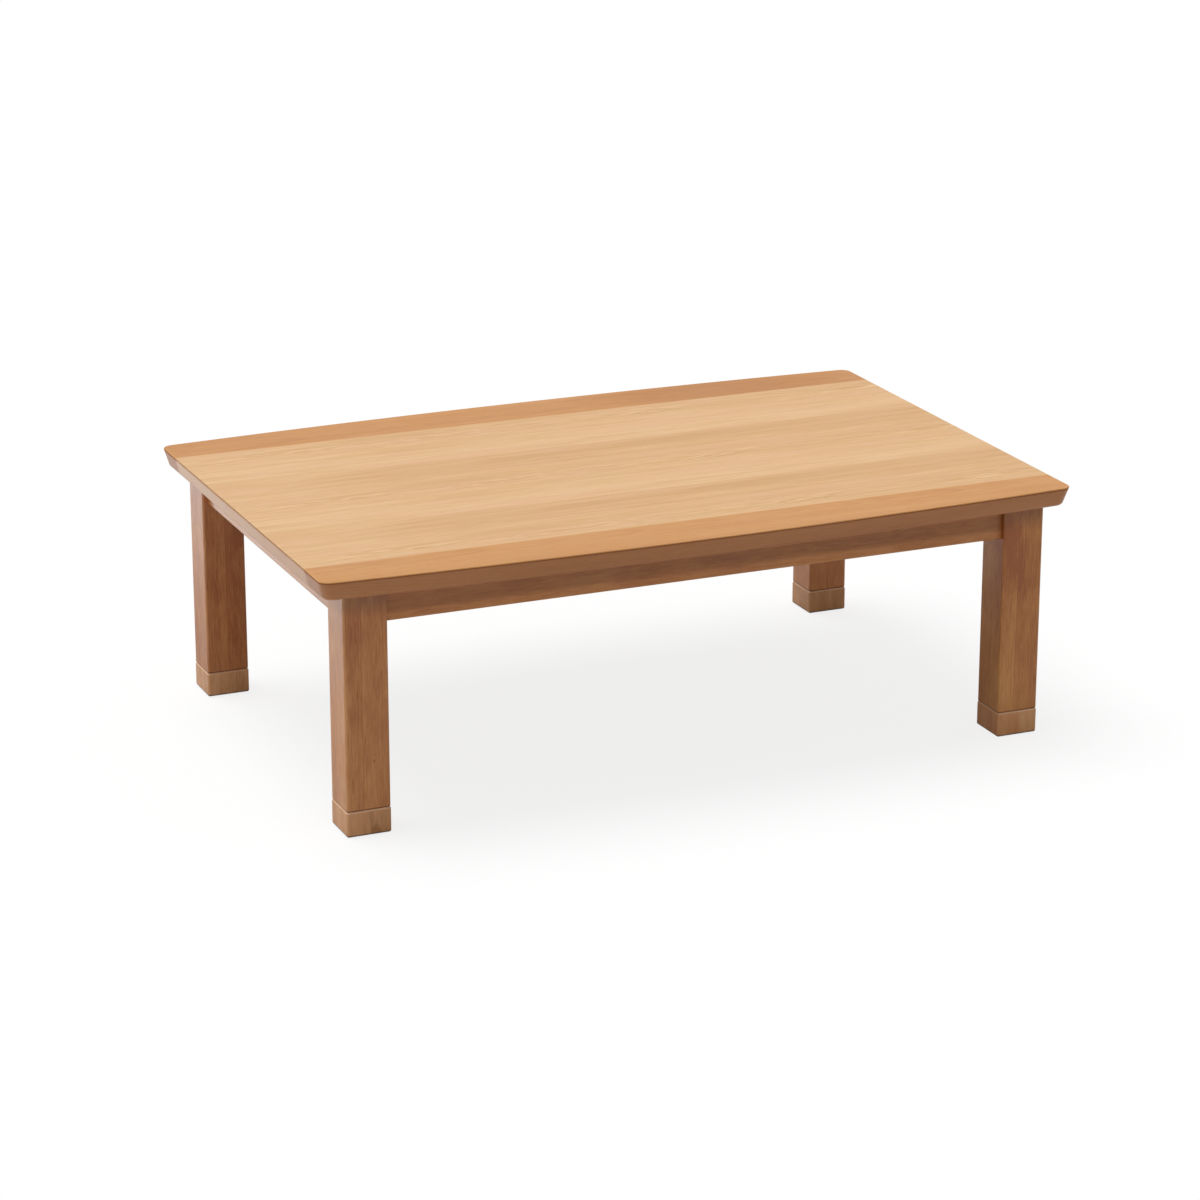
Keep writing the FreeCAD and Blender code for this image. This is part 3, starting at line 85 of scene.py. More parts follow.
def tone(code):
    """Turn a colour written as #rrggbb into the linear values that the shaders use."""
    linear = []
    for start in (1, 3, 5):
        channel = int(code[start:start + 2], 16) / 255
        linear.append(channel / 12.92 if channel <= 0.04045 else ((channel + 0.055) / 1.055) ** 2.4)
    return (*linear, 1.0)


def colour_property(description, code):
    """Describe a colour that a user can change."""
    return FloatVectorProperty(
        description=description, default=tone(code), size=4, min=0, max=1, subtype="COLOR")


def length_property(description, millimetres):
    """Describe a length that a user can change."""
    return FloatProperty(
        description=description, default=millimetres * MM, min=0, unit="LENGTH",
        subtype="DISTANCE", precision=5)


def angle_property(description, radians):
    """Describe an angle that a user can change."""
    return FloatProperty(description=description, default=radians, subtype="ANGLE")


def amount_property(description, amount):
    """Describe a plain amount that a user can change."""
    return FloatProperty(description=description, default=amount, min=0)


def vector_property(description, vector, subtype):
    """Describe a place, a direction or a turn that a user can change."""
    return FloatVectorProperty(description=description, default=vector, subtype=subtype)


class WoodFinishes(PropertyGroup):
    """Tones of the woods, from the palest fibre to the darkest."""

    veneer_pale: colour_property("Palest stripes of the tabletop's veneer", "#e4be90")
    veneer_middle: colour_property("Most of the tabletop's veneer", "#d9af7e")
    veneer_dark: colour_property("Olive stripes of the tabletop's veneer", "#ca9d6a")
    veneer_blush: colour_property("Faint pink cast of some of its stripes", "#e0b18b")
    band_pale: colour_property("Palest fibre of the tabletop's bands", "#d9a66f")
    band_middle: colour_property("Most of the tabletop's bands", "#ce955d")
    band_dark: colour_property("Darkest rings of the tabletop's bands", "#b87e4a")
    frame_pale: colour_property("Palest fibre of the legs and aprons", "#dda268")
    frame_middle: colour_property("Most of the legs and aprons", "#cc894e")
    frame_dark: colour_property("Darkest rings of the legs and aprons", "#a35a26")
    foot_pale: colour_property("Palest fibre of the foot blocks", "#e8bb8c")
    foot_middle: colour_property("Most of the foot blocks", "#dba06d")
    foot_dark: colour_property("Darkest rings of the foot blocks", "#b47b49")
    softwood_pale: colour_property("Early wood of the planed bars", "#ead0a2")
    softwood_middle: colour_property("Most of the planed bars", "#dfbd87")
    softwood_dark: colour_property("Late wood of the planed bars", "#bd8b52")
    leaf_width: length_property("Width after which the veneer's figure repeats", 270)
    leaf_start: length_property("How far a leaf reaches in front of its heart", 140)


class HardwareSizes(PropertyGroup):
    """Sizes of the threads, recesses, coils and blades that the plain solids leave out."""

    head_height: length_property("Height of a pan head above its seat", 2.4)
    head_radius: length_property("Radius of a pan head", 4)
    screw_tip: length_property("Length of a wood screw's point", 3)
    screw_pitch: length_property("Rise of a wood screw's thread in one turn", 1.6)
    screw_thread: length_property("Depth of a wood screw's thread", 0.45)
    metal_pitch: length_property("Rise of a bolt's thread in one turn", 1.25)
    metal_thread: length_property("Depth of a bolt's thread", 0.6)
    recess_span: length_property("Length of each slot of the cross recess", 4.2)
    recess_width: length_property("Width of each slot of the cross recess", 0.9)
    recess_depth: length_property("Depth of the cross recess", 1.3)
    wire_radius: length_property("Radius of the heating wire", 0.38)
    wire_pitch: length_property("Rise of the heating wire in one turn", 1.9)
    blade_thickness: length_property("Thickness of a fan blade", 1.3)
    blade_count: IntProperty(description="Number of fan blades", default=10, min=3)
    blade_sweep: angle_property("How far a blade's tip trails its root", -0.55)


class FittingFinishes(PropertyGroup):
    """Colours of the metals, plastics, paints and soft fittings."""

    zinc: colour_property("Bright zinc plate on screws, bolts and brackets", "#c3c5c6")
    zinc_dull: colour_property("Where the zinc plate has clouded", "#a9abab")
    aluminium: colour_property("Bright sheet of the reflector", "#dadcdd")
    aluminium_dull: colour_property("Where the sheet has dulled", "#bfc0c0")
    scorch: colour_property("Straw tint that heat leaves on bare metal", "#b89664")
    wire: colour_property("Oxidised resistance wire", "#6d625b")
    brass: colour_property("Pins of the inlet", "#c8a85c")
    housing_paint: colour_property("Baked paint of the heater housing", "#333436")
    guard_flock: colour_property("Flocked coat of the heater guard", "#2f2722")
    guard_fleck: colour_property("Paler fibres of the flocked coat", "#54463c")
    plastic: colour_property("Moulded parts of the fan and inlet", "#232325")
    rubber: colour_property("Cushions between the frame and the top", "#292929")
    felt: colour_property("Pressed glides under the feet", "#6a5039")
    felt_fleck: colour_property("Paler fibres of the glides", "#a08662")
    ceramic: colour_property("Caps of the heating tubes", "#e6e3da")
    sleeve: colour_property("Braided sleeve of the leads", "#e0ded6")
    quartz: colour_property("Milky glass of the heating tubes", "#efeae4")
    dust: colour_property("Pale household dust", "#a59c90")


class StageSettings(PropertyGroup):
    """Camera and light."""

    camera_place: vector_property("Where the camera stands", (-2.2213, -5.1459, 2.0277), "TRANSLATION")
    camera_turn: vector_property("How the camera is turned", (QUARTER_TURN - 0.3187, 0.0, -0.4051), "EULER")
    camera_lens: amount_property("Focal length in millimetres", 113.83)
    key_direction: vector_property("Way from the table to the large lamp", (-0.20, 0.20, 0.95), "DIRECTION")
    key_spread: angle_property("How wide the large lamp looks from the table", math.radians(38))
    key_light: amount_property("Light that a face square to the lamp gets", 0.70)
    room_light: amount_property("Light from the room all around", 0.34)
    side_sheen: amount_property("Light that the floor left of the table mirrors", 2.3)
    floor_side: length_property("Side of the floor", 60000)


class Graph:
    """Adds and joins the nodes of one shader tree."""

    def __init__(self, tree):
        self.tree = tree

    def add(self, kind, **settings):
        """Add a node and set its options."""
        node = self.tree.nodes.new(kind)
        for option, value in settings.items():
            setattr(node, option, value)
        return node

    def feed(self, socket, value):
        """Join a socket to another node's output, or set its own value."""
        if isinstance(value, bpy.types.NodeSocket):
            self.tree.links.new(value, socket)
        else:
            socket.default_value = value

    def maths(self, operation, *values, clamp=False):
        """Work out one number."""
        node = self.add("ShaderNodeMath", operation=operation, use_clamp=clamp)
        for socket, value in zip(node.inputs, values):
            self.feed(socket, value)
        return node.outputs["Value"]

    def times(self, first, second):
        """Multiply two numbers."""
        return self.maths("MULTIPLY", first, second)

    def highest(self, first, *others):
        """Take the highest of several numbers."""
        for other in others:
            first = self.maths("MAXIMUM", first, other)
        return first

    def total(self, start, *terms):
        """Add up values that each have a weight, given as (value, weight) pairs."""
        result = start
        for value, weight in terms:
            node = self.add("ShaderNodeMath", operation="MULTIPLY_ADD")
            self.feed(node.inputs[0], value)
            self.feed(node.inputs[1], weight)
            self.feed(node.inputs[2], result)
            result = node.outputs["Value"]
        return result

    def vector(self, operation, *values, scale=None):
        """Work out one vector."""
        node = self.add("ShaderNodeVectorMath", operation=operation)
        for socket, value in zip(node.inputs, values):
            self.feed(socket, value)
        if scale is not None:
            self.feed(node.inputs["Scale"], scale)
        return node.outputs["Value" if operation in ("LENGTH", "DOT_PRODUCT") else "Vector"]

    def parts(self, vector):
        """Take a vector apart into its three numbers."""
        node = self.add("ShaderNodeSeparateXYZ")
        self.feed(node.inputs[0], vector)
        return tuple(node.outputs)

    def height(self, vector):
        """Give a vector's upward part."""
        return self.parts(vector)[2]

    def together(self, x, y, z):
        """Put three numbers together into a vector."""
        node = self.add("ShaderNodeCombineXYZ")
        for socket, value in zip(node.inputs, (x, y, z)):
            self.feed(socket, value)
        return node.outputs[0]

    def spread(self, value, low, high, new_low=0.0, new_high=1.0, smooth=True):
        """Carry a value from one range to another and hold it there."""
        node = self.add("ShaderNodeMapRange", interpolation_type="SMOOTHSTEP" if smooth else "LINEAR")
        for name, number in (("Value", value), ("From Min", low), ("From Max", high),
                             ("To Min", new_low), ("To Max", new_high)):
            self.feed(node.inputs[name], number)
        return node.outputs["Result"]

    def noise(self, vector, size, seed=0.0, detail=2.0, roughness=0.5, output="Fac"):
        """Make a soft noise whose spots have the given size in metres, along X, Y and Z or all round."""
        sizes = size if isinstance(size, tuple) else (size, size, size)
        squeezed = self.vector("MULTIPLY", vector, tuple(1 / side for side in sizes))
        node = self.add("ShaderNodeTexNoise", noise_dimensions="4D")
        for name, value in (("Vector", squeezed), ("W", seed), ("Scale", 1.0), ("Detail", detail),
                            ("Roughness", roughness)):
            self.feed(node.inputs[name], value)
        return node.outputs[output]

    def ramp(self, factor, *stops, kind="LINEAR"):
        """Turn a number into a colour or a grey by stops given as (place, colour or grey)."""
        node = self.add("ShaderNodeValToRGB")
        node.color_ramp.interpolation = kind
        marks = node.color_ramp.elements
        while len(marks) < len(stops):
            marks.new(1.0)
        for mark, (place, value) in zip(marks, stops):
            mark.position = place
            mark.color = value if isinstance(value, tuple) else (value, value, value, 1.0)
        self.feed(node.inputs["Fac"], factor)
        return node.outputs["Color"]

    def mix(self, factor, first, second, kind="MIX"):
        """Mix two colours."""
        node = self.add("ShaderNodeMix", data_type="RGBA", blend_type=kind)
        sockets = (node.inputs["Factor"], node.inputs[MIX_FIRST], node.inputs[MIX_SECOND])
        for socket, value in zip(sockets, (factor, first, second)):
            self.feed(socket, value)
        return node.outputs[MIX_RESULT]

    def shade(self, mask, colour, tint):
        """Multiply a colour by a tint where a mask says."""
        return self.mix(mask, colour, tone(tint), "MULTIPLY")

    def place(self):
        """Give the place on the piece, in metres."""
        return self.add("ShaderNodeTexCoord").outputs["Object"]

    def normal(self):
        """Give the way that the surface faces."""
        return self.add("ShaderNodeNewGeometry").outputs["Normal"]

    def laid(self, vector, centre, turn):
        """Move a pattern's origin to a centre and turn its X axis with the grain."""
        node = self.add("ShaderNodeMapping", vector_type="TEXTURE")
        self.feed(node.inputs["Vector"], vector)
        node.inputs["Location"].default_value = centre
        node.inputs["Rotation"].default_value = turn
        return node.outputs["Vector"]

    def effect(self, name, **values):
        """Place a shared effect with this material's own values."""
        node = self.add("ShaderNodeGroup", node_tree=bpy.data.node_groups[name])
        for key, value in values.items():
            self.feed(node.inputs[key.replace("_", " ").title()], value)
        return node.outputs

    def bump(self, height, depth):
        """Raise a surface by a height that runs from 0 to 1 over a depth in metres."""
        node = self.add("ShaderNodeBump")
        node.inputs["Distance"].default_value = depth
        self.feed(node.inputs["Height"], height)
        return node.outputs["Normal"]


def new_effect(name, outputs, **inputs):
    """Start a shared effect, a node group that takes a place and more inputs and gives named numbers."""
    tree = bpy.data.node_groups.new(name, "ShaderNodeTree")
    for label, value in {"vector": (0, 0, 0), **inputs}.items():
        kind = "NodeSocketVector" if isinstance(value, tuple) else "NodeSocketFloat"
        socket = tree.interface.new_socket(label.title(), in_out="INPUT", socket_type=kind)
        socket.default_value = value
    for label in outputs:
        tree.interface.new_socket(label, in_out="OUTPUT", socket_type="NodeSocketFloat")
    graph = Graph(tree)
    given = graph.add("NodeGroupInput").outputs
    return graph, given["Vector"], given, graph.add("NodeGroupOutput").inputs


def new_material(name, **plain):
    """Start a material; plain values go on the shader's sockets, words joined by underscores."""
    material = bpy.data.materials.new(name)
    material.use_nodes = True
    shader = material.node_tree.nodes["Principled BSDF"]
    for key, value in plain.items():
        words = key.replace("_", " ").title().replace("Ior", "IOR")
        shader.inputs[words].default_value = value
    graph = Graph(material.node_tree)
    return material, graph, shader.inputs, graph.place()


def coat(graph, shader, colour, roughness, height, depth):
    """Give a surface its colour, its roughness and a relief of the given depth in metres."""
    graph.feed(shader["Base Color"], colour)
    graph.feed(shader["Roughness"], roughness)
    graph.feed(shader["Normal"], graph.bump(height, depth))


def dress(piece, material):
    """Give a piece one material all over."""
    if not piece.material_slots:
        piece.data.materials.append(material)
    for material_slot in piece.material_slots:
        material_slot.material = material


def centre_and_half(node):
    """Give a piece's centre and half its size."""
    low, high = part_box(node)
    return (low + high) / 2, (high - low) / 2


def make_wood_grain():
    """Growth rings about a leaning heart, broad streaks, fibre and pores; the grain runs along X."""
    graph, place, given, result = new_effect(
        "Wood Grain", ("Rings", "Streaks", "Clouds", "Flecks", "Fibre", "Pores"),
        seed=0, heart=(0, 0, -0.06), taper=0.03, spacing=0.004, wander=0.006)
    middle = (0.5, 0.5, 0.5)
    slow_size, quick_size = (0.9, 0.11, 0.11), (0.07, 0.018, 0.018)
    slow = graph.noise(place, slow_size, given["Seed"], 1, output="Color")
    quick = graph.noise(place, quick_size, given["Seed"], 2, output="Color")
    slow_shift = graph.vector("SCALE", graph.vector("SUBTRACT", slow, middle), scale=given["Wander"])
    quick_reach = graph.times(given["Wander"], 0.3)
    quick_shift = graph.vector("SCALE", graph.vector("SUBTRACT", quick, middle), scale=quick_reach)
    shifted = graph.vector("ADD", graph.vector("ADD", place, slow_shift), quick_shift)
    along, across, depth = graph.parts(graph.vector("SUBTRACT", shifted, given["Heart"]))
    leaning = graph.total(depth, (along, given["Taper"]))
    radius = graph.vector("LENGTH", graph.together(0.0, across, leaning))
    years = graph.maths("DIVIDE", radius, given["Spacing"])
    uneven = graph.add("ShaderNodeTexNoise", noise_dimensions="1D")
    graph.feed(uneven.inputs["W"], graph.total(given["Seed"], (years, 0.3)))
    uneven.inputs["Scale"].default_value = 1.0
    uneven_years = graph.total(years, (uneven.outputs["Fac"], 2.2))
    early_to_late = ((0, 0), (0.45, 0.12), (0.86, 1.0), (0.96, 0.3), (1, 0))
    late = graph.ramp(graph.maths("FRACT", uneven_years), *early_to_late)
    strength = graph.add("ShaderNodeTexWhiteNoise", noise_dimensions="1D")
    graph.feed(strength.inputs["W"], graph.maths("FLOOR", uneven_years))
    share = graph.total(0.4, (strength.outputs["Value"], 0.6))
    graph.feed(result["Rings"], graph.times(late, share))
    # Each figure of the grain: the size of its spots along and across the grain, its detail and roughness
    for label, length, width, detail, rough in (
            ("Streaks", 0.7, 0.024, 4, 0.62), ("Clouds", 0.075, 0.026, 4, 0.62),
            ("Flecks", 0.030, 0.0030, 3, 0.6), ("Fibre", 0.09, 0.0014, 2, 0.5)):
        figure = graph.noise(shifted, (length, width, width), given["Seed"], detail, rough)
        graph.feed(result[label], figure)
    pore_size = (0.022, 0.0008, 0.0008)
    specks = graph.noise(shifted, pore_size, given["Seed"], 1)
    graph.feed(result["Pores"], graph.spread(specks, 0.6, 0.72))


def make_knot():
    """A knot: how far it pushes the grain aside, and its dark core."""
    graph, place, given, result = new_effect("Knot", ("Push", "Core"), place=(0, 0, 0), size=0.01)
    stretch = (0.45, 1.0, 1.0)
    away = graph.vector("MULTIPLY", graph.vector("SUBTRACT", place, given["Place"]), stretch)
    distance = graph.maths("DIVIDE", graph.vector("LENGTH", away), given["Size"])
    rough = graph.total(distance, (graph.noise(place, 0.003), 0.5))
    graph.feed(result["Push"], graph.spread(distance, 2.6, 0.2))
    graph.feed(result["Core"], graph.spread(rough, 1.0, 0.45))


def make_grain_mark():
    """A short streak or patch in the grain: 1 at its middle, fading out raggedly at its reach."""
    graph, place, given, result = new_effect(
        "Grain Mark", ("Mask",), place=(0, 0, 0), reach=(0.03, 0.003, 0.003))
    away = graph.vector("DIVIDE", graph.vector("SUBTRACT", place, given["Place"]), given["Reach"])
    ragged = graph.total(graph.vector("LENGTH", away), (graph.noise(away, 0.7, detail=3), 0.7))
    graph.feed(result["Mask"], graph.spread(ragged, 1.35, 0.5))


def make_rounded_edge():
    """Where two faces of a box-shaped piece meet: 1 on the edge, 0 past the given width."""
    graph, place, given, result = new_effect("Rounded Edge", ("Mask",), half=(1, 1, 1), width=0.005)
    inwards = graph.vector("SUBTRACT", given["Half"], graph.vector("ABSOLUTE", place))
    near = [graph.spread(distance, given["Width"], 0.0) for distance in graph.parts(inwards)]
    pairs = [graph.times(near[i], near[i - 1]) for i in range(3)]
    ragged = graph.total(0.55, (graph.noise(place, 0.012, detail=3), 0.7))
    graph.feed(result["Mask"], graph.maths("MULTIPLY", graph.highest(*pairs), ragged, clamp=True))


def make_handling():
    """Smudges of hands and cloths, and fine scratches, both from 0 to 1."""
    graph, place, given, result = new_effect("Handling", ("Smudges", "Scratches"), seed=0)
    broad = graph.noise(place, 0.11, given["Seed"], 3, 0.6)
    graph.feed(result["Smudges"], graph.spread(broad, 0.35, 0.68))
    scratches = []
    for size in ((0.05, 0.0008, 0.0008), (0.0008, 0.04, 0.0008)):
        scratches.append(graph.spread(graph.noise(place, size, given["Seed"], 0), 0.74, 0.8))
    graph.feed(result["Scratches"], graph.highest(*scratches))


def make_plating():
    """Plated or bare metal: a cloudy tone, and rough spots where it has been handled."""
    graph, place, given, result = new_effect("Plating", ("Cloud", "Grit"), seed=0)
    graph.feed(result["Cloud"], graph.noise(place, 0.006, given["Seed"], 4, 0.6))
    graph.feed(result["Grit"], graph.noise(place, 0.0006, given["Seed"], 2))


def make_settled_dust():
    """Dust on what faces up, thicker in patches."""
    graph, place, given, result = new_effect("Settled Dust", ("Mask",), normal=(0, 0, 1), amount=0.3)
    upwards = graph.spread(graph.parts(given["Normal"])[2], 0.3, 0.95)
    patches = graph.total(0.35, (graph.noise(place, 0.03, detail=5, roughness=0.65), 1.0))
    dusty = graph.times(upwards, patches)
    graph.feed(result["Mask"], graph.maths("MULTIPLY", dusty, given["Amount"], clamp=True))


def make_fibre_mat():
    """Felt and flock: short fibres that lie every way, and where they clump."""
    graph, place, given, result = new_effect("Fibre Mat", ("Fibres", "Clumps"), size=0.0005)
    sized = graph.vector("SCALE", place, scale=graph.maths("DIVIDE", 1.0, given["Size"]))
    curl = graph.vector("SCALE", graph.noise(sized, 1.5, output="Color"), scale=1.4)
    bent = graph.vector("ADD", sized, curl)
    stretches = ((5.0, 0.7, 1.0), (0.7, 5.0, 1.0), (1.0, 0.7, 5.0))
    fibres = [graph.noise(bent, stretch, detail=1) for stretch in stretches]
    graph.feed(result["Fibres"], graph.spread(graph.highest(*fibres), 0.48, 0.78))
    graph.feed(result["Clumps"], graph.noise(sized, 9.0, detail=3))


def make_moulded_skin():
    """Fine spark-eroded texture of moulded plastic, orange peel of paint: a height and a faint cloud."""
    graph, place, given, result = new_effect("Moulded Skin", ("Height", "Cloud"), size=0.001)
    sized = graph.vector("SCALE", place, scale=graph.maths("DIVIDE", 1.0, given["Size"]))
    graph.feed(result["Height"], graph.noise(sized, 1.0, detail=2))
    graph.feed(result["Cloud"], graph.noise(sized, 30.0, detail=3))


def make_braid():
    """Crossing strands of a braided sleeve: which strand lies on top, and the gaps between them."""
    graph, place, given, result = new_effect("Braid", ("Strands",), pitch=0.001)
    waves = []
    for way in ((1.0, 1.0, 1.0), (1.0, -1.0, -1.0)):
        along = graph.maths("DIVIDE", graph.vector("DOT_PRODUCT", place, way), given["Pitch"])
        waves.append(graph.maths("ABSOLUTE", graph.maths("SINE", graph.times(along, math.pi))))
    graph.feed(result["Strands"], graph.highest(*waves))


def make_effects():
    """Build every shared effect once."""
    for make in (make_wood_grain, make_knot, make_grain_mark, make_rounded_edge, make_handling, make_plating,
                 make_settled_dust, make_fibre_mat, make_moulded_skin, make_braid):
        make()


def fitting_colour(name):
    """Read one colour of the fittings from the settings."""
    return getattr(bpy.context.scene.table_fittings, name)[:]


def dusty(graph, place, colour, amount):
    """Lay dust over a colour where the surface faces up."""
    mask = graph.effect("Settled Dust", vector=place, normal=graph.normal(), amount=amount)["Mask"]
    return graph.mix(mask, colour, fitting_colour("dust"))


def bare_metal(name, bright, dull, roughness, seed, dust=0.0, brushed=None, scorch=None):
    """Make plated or bare metal; brushed gives the size of its lines, scorch where heat has tinted it."""
    material, graph, shader, place = new_material(name, metallic=1.0)
    plating = graph.effect("Plating", vector=place, seed=seed)
    colour = graph.mix(plating["Cloud"], fitting_colour(bright), fitting_colour(dull))
    height = plating["Grit"]
    rough = graph.total(roughness - 0.1, (plating["Cloud"], 0.2))
    if brushed:
        lines = graph.noise(place, brushed, seed, 2)
        colour = graph.mix(graph.times(lines, 0.25), colour, fitting_colour(dull))
        rough = graph.total(rough, (lines, 0.12))
        height = graph.total(0.0, (lines, 0.7), (height, 0.3))
    if scorch:
        colour = graph.mix(scorch(graph, place), colour, fitting_colour("scorch"), "MULTIPLY")
    if dust:
        colour = dusty(graph, place, colour, dust)
    coat(graph, shader, colour, rough, height, 0.02 * MM)
    return material


def moulded(name, colour, size, depth, roughness, dust=0.0):
    """Make plastic, paint, rubber or ceramic with a fine skin of the given size and depth."""
    material, graph, shader, place = new_material(name, specular_ior_level=0.4)
    skin = graph.effect("Moulded Skin", vector=place, size=size)
    base = fitting_colour(colour)
    pale = tuple(min(1.0, 1.35 * part + 0.006) for part in base[:3]) + (1.0,)
    shown = graph.mix(graph.spread(skin["Cloud"], 0.35, 0.7), base, pale)
    handling = graph.effect("Handling", vector=place, seed=size)
    shown = graph.mix(graph.times(handling["Scratches"], 0.35), shown, pale)
    if dust:
        shown = dusty(graph, place, shown, dust)
    rough = graph.total(roughness, (skin["Cloud"], 0.12), (handling["Smudges"], -0.08))
    coat(graph, shader, shown, rough, skin["Height"], depth)
    return material


def matted(name, colour, fleck, size, depth, sheen):
    """Make felt or flock."""
    material, graph, shader, place = new_material(
        name, specular_ior_level=0.15, sheen_weight=sheen, sheen_roughness=0.45)
    mat = graph.effect("Fibre Mat", vector=place, size=size)
    pale = fitting_colour(fleck)
    shown = graph.mix(graph.times(mat["Fibres"], 0.6), fitting_colour(colour), pale)
    shown = graph.mix(graph.spread(mat["Clumps"], 0.3, 0.7, 0.0, 0.25), shown, pale)
    coat(graph, shader, shown, graph.spread(mat["Clumps"], 0.2, 0.8, 0.85, 0.97), mat["Fibres"], depth)
    return material


def quartz_glass():
    """Make the milky glass of the tubes, with fine drawn lines along them."""
    material, graph, shader, place = new_material("milky_quartz", transmission_weight=0.82, ior=1.46)
    lines = graph.noise(place, (60 * MM, 0.7 * MM, 0.7 * MM), detail=2)
    clouds = graph.noise(place, (30 * MM, 6 * MM, 6 * MM), detail=2)
    quartz = fitting_colour("quartz")
    hazy = tuple(0.86 * part for part in quartz[:3]) + (1.0,)
    rough = graph.spread(clouds, 0.3, 0.7, 0.16, 0.34)
    coat(graph, shader, graph.mix(clouds, quartz, hazy), rough, lines, 0.05 * MM)
    return material


def braided_sleeve():
    """Make the glass braid of the leads."""
    material, graph, shader, place = new_material("glass_braid", specular_ior_level=0.3, sheen_weight=0.3)
    strands = graph.effect("Braid", vector=place, pitch=0.9 * MM)["Strands"]
    pale = fitting_colour("sleeve")
    shaded = tuple(0.55 * part for part in pale[:3]) + (1.0,)
    colour = graph.ramp(strands, (0.35, shaded), (0.75, pale))
    coat(graph, shader, colour, graph.spread(strands, 0.0, 1.0, 0.8, 0.6), strands, 0.15 * MM)
    return material


def begin(kind, **settings):
    """Deselect everything and add a primitive at its size and place, with that place in its mesh."""
    bpy.ops.object.select_all(action="DESELECT")
    getattr(bpy.ops.mesh, f"primitive_{kind}_add")(**settings)
    bpy.ops.object.transform_apply(location=True, rotation=True, scale=True)
    return bpy.context.object


def select_only(*pieces):
    """Select these pieces and nothing else, with the first one active."""
    bpy.ops.object.select_all(action="DESELECT")
    for piece in pieces:
        piece.select_set(True)
    bpy.context.view_layer.objects.active = pieces[0]


def close_mesh():
    """Turn every face of the mesh being edited outwards and leave edit mode."""
    bpy.ops.mesh.select_all(action="SELECT")
    bpy.ops.mesh.normals_make_consistent(inside=False)
    bpy.ops.object.mode_set(mode="OBJECT")


def apply_modifier(piece, kind, **settings):
    """Add a modifier to a piece and apply it."""
    select_only(piece)
    modifier = piece.modifiers.new("shaping", kind)
    for option, value in settings.items():
        setattr(modifier, option, value)
    bpy.ops.object.modifier_apply(modifier=modifier.name)


def combine(piece, tool, operation):
    """Unite a piece with a tool or cut the tool out of it, and remove the tool."""
    apply_modifier(piece, "BOOLEAN", object=tool, operation=operation, solver="EXACT")
    bpy.data.objects.remove(tool)


def smooth(piece, degrees):
    """Shade a piece smooth but for edges sharper than an angle."""
    select_only(piece)
    bpy.ops.object.shade_smooth_by_angle(angle=math.radians(degrees))


def turned(sections, sides):
    """Raise a disc through round sections given as (radius, height)."""
    radius, height = sections[0]
    piece = begin("circle", vertices=sides, radius=radius, fill_type="NGON", location=(0, 0, height))
    bpy.ops.object.mode_set(mode="EDIT")
    for next_radius, next_height in sections[1:]:
        bpy.ops.mesh.extrude_region_move(TRANSFORM_OT_translate={"value": (0, 0, next_height - height)})
        if next_radius != radius:
            growth = next_radius / radius
            bpy.ops.transform.resize(value=(growth, growth, 1), center_override=(0, 0, next_height))
        radius, height = next_radius, next_height
    close_mesh()
    return piece


def levels(low, high, step):
    """List evenly spaced heights from low to high, about a step apart."""
    count = max(1, round((high - low) / step))
    return [low + (high - low) * number / count for number in range(count + 1)]


def cut_thread(piece, low, high, pitch, depth):
    """Sink a screw thread into a turned piece between two heights."""
    for vertex in piece.data.vertices:
        x, y, height = vertex.co
        radius = math.hypot(x, y)
        if low < height < high and radius > depth:
            phase = (height / pitch - math.atan2(y, x) / math.tau) % 1
            fade = min(1.0, (height - low) / pitch, (high - height) / pitch)
            kept = 1 - depth * abs(2 * phase - 1) * fade / radius
            vertex.co.x = x * kept
            vertex.co.y = y * kept


def pan_head_screw(radius, length, thread_length):
    """Model a pan-head wood screw: its seat at Z = 0, its crossed head above and its point below."""
    sizes = bpy.context.scene.table_hardware
    top, wide = sizes.head_height, sizes.head_radius
    shoulder = -length + sizes.screw_tip
    thread_top = -length + thread_length
    point = 0.2 * MM
    sections = [(point, -length)]
    for height in levels(-length, shoulder, sizes.screw_pitch / 4)[1:]:
        sections.append((point + (radius - point) * (height + length) / sizes.screw_tip, height))
    sections += [(radius, height) for height in levels(shoulder, thread_top, sizes.screw_pitch / 4)[1:]]
    sections += [(radius, 0.0), (wide, 0.0), (wide, 0.34 * top), (0.94 * wide, 0.66 * top),
                 (0.78 * wide, 0.88 * top), (0.5 * wide, top)]
    piece = turned(sections, SCREW_SIDES)
    cut_thread(piece, -length + point, thread_top, sizes.screw_pitch, sizes.screw_thread)
    for spans in ((sizes.recess_span, sizes.recess_width), (sizes.recess_width, sizes.recess_span)):
        slot_cutter = begin("cube", size=1, location=(0, 0, top), scale=(*spans, 2 * sizes.recess_depth))
        combine(piece, slot_cutter, "DIFFERENCE")
    smooth(piece, 35)
    return piece


def threaded_rod(radius, low, high, chamfer, pitch, depth):
    """Model a rod with bevelled ends and a metal thread all along it."""
    inner = [(radius, height) for height in levels(low + chamfer, high - chamfer, pitch / 4)]
    piece = turned([(radius - chamfer, low), *inner, (radius - chamfer, high)], ROD_SIDES)
    cut_thread(piece, low, high, pitch, depth)
    smooth(piece, 50)
    return piece


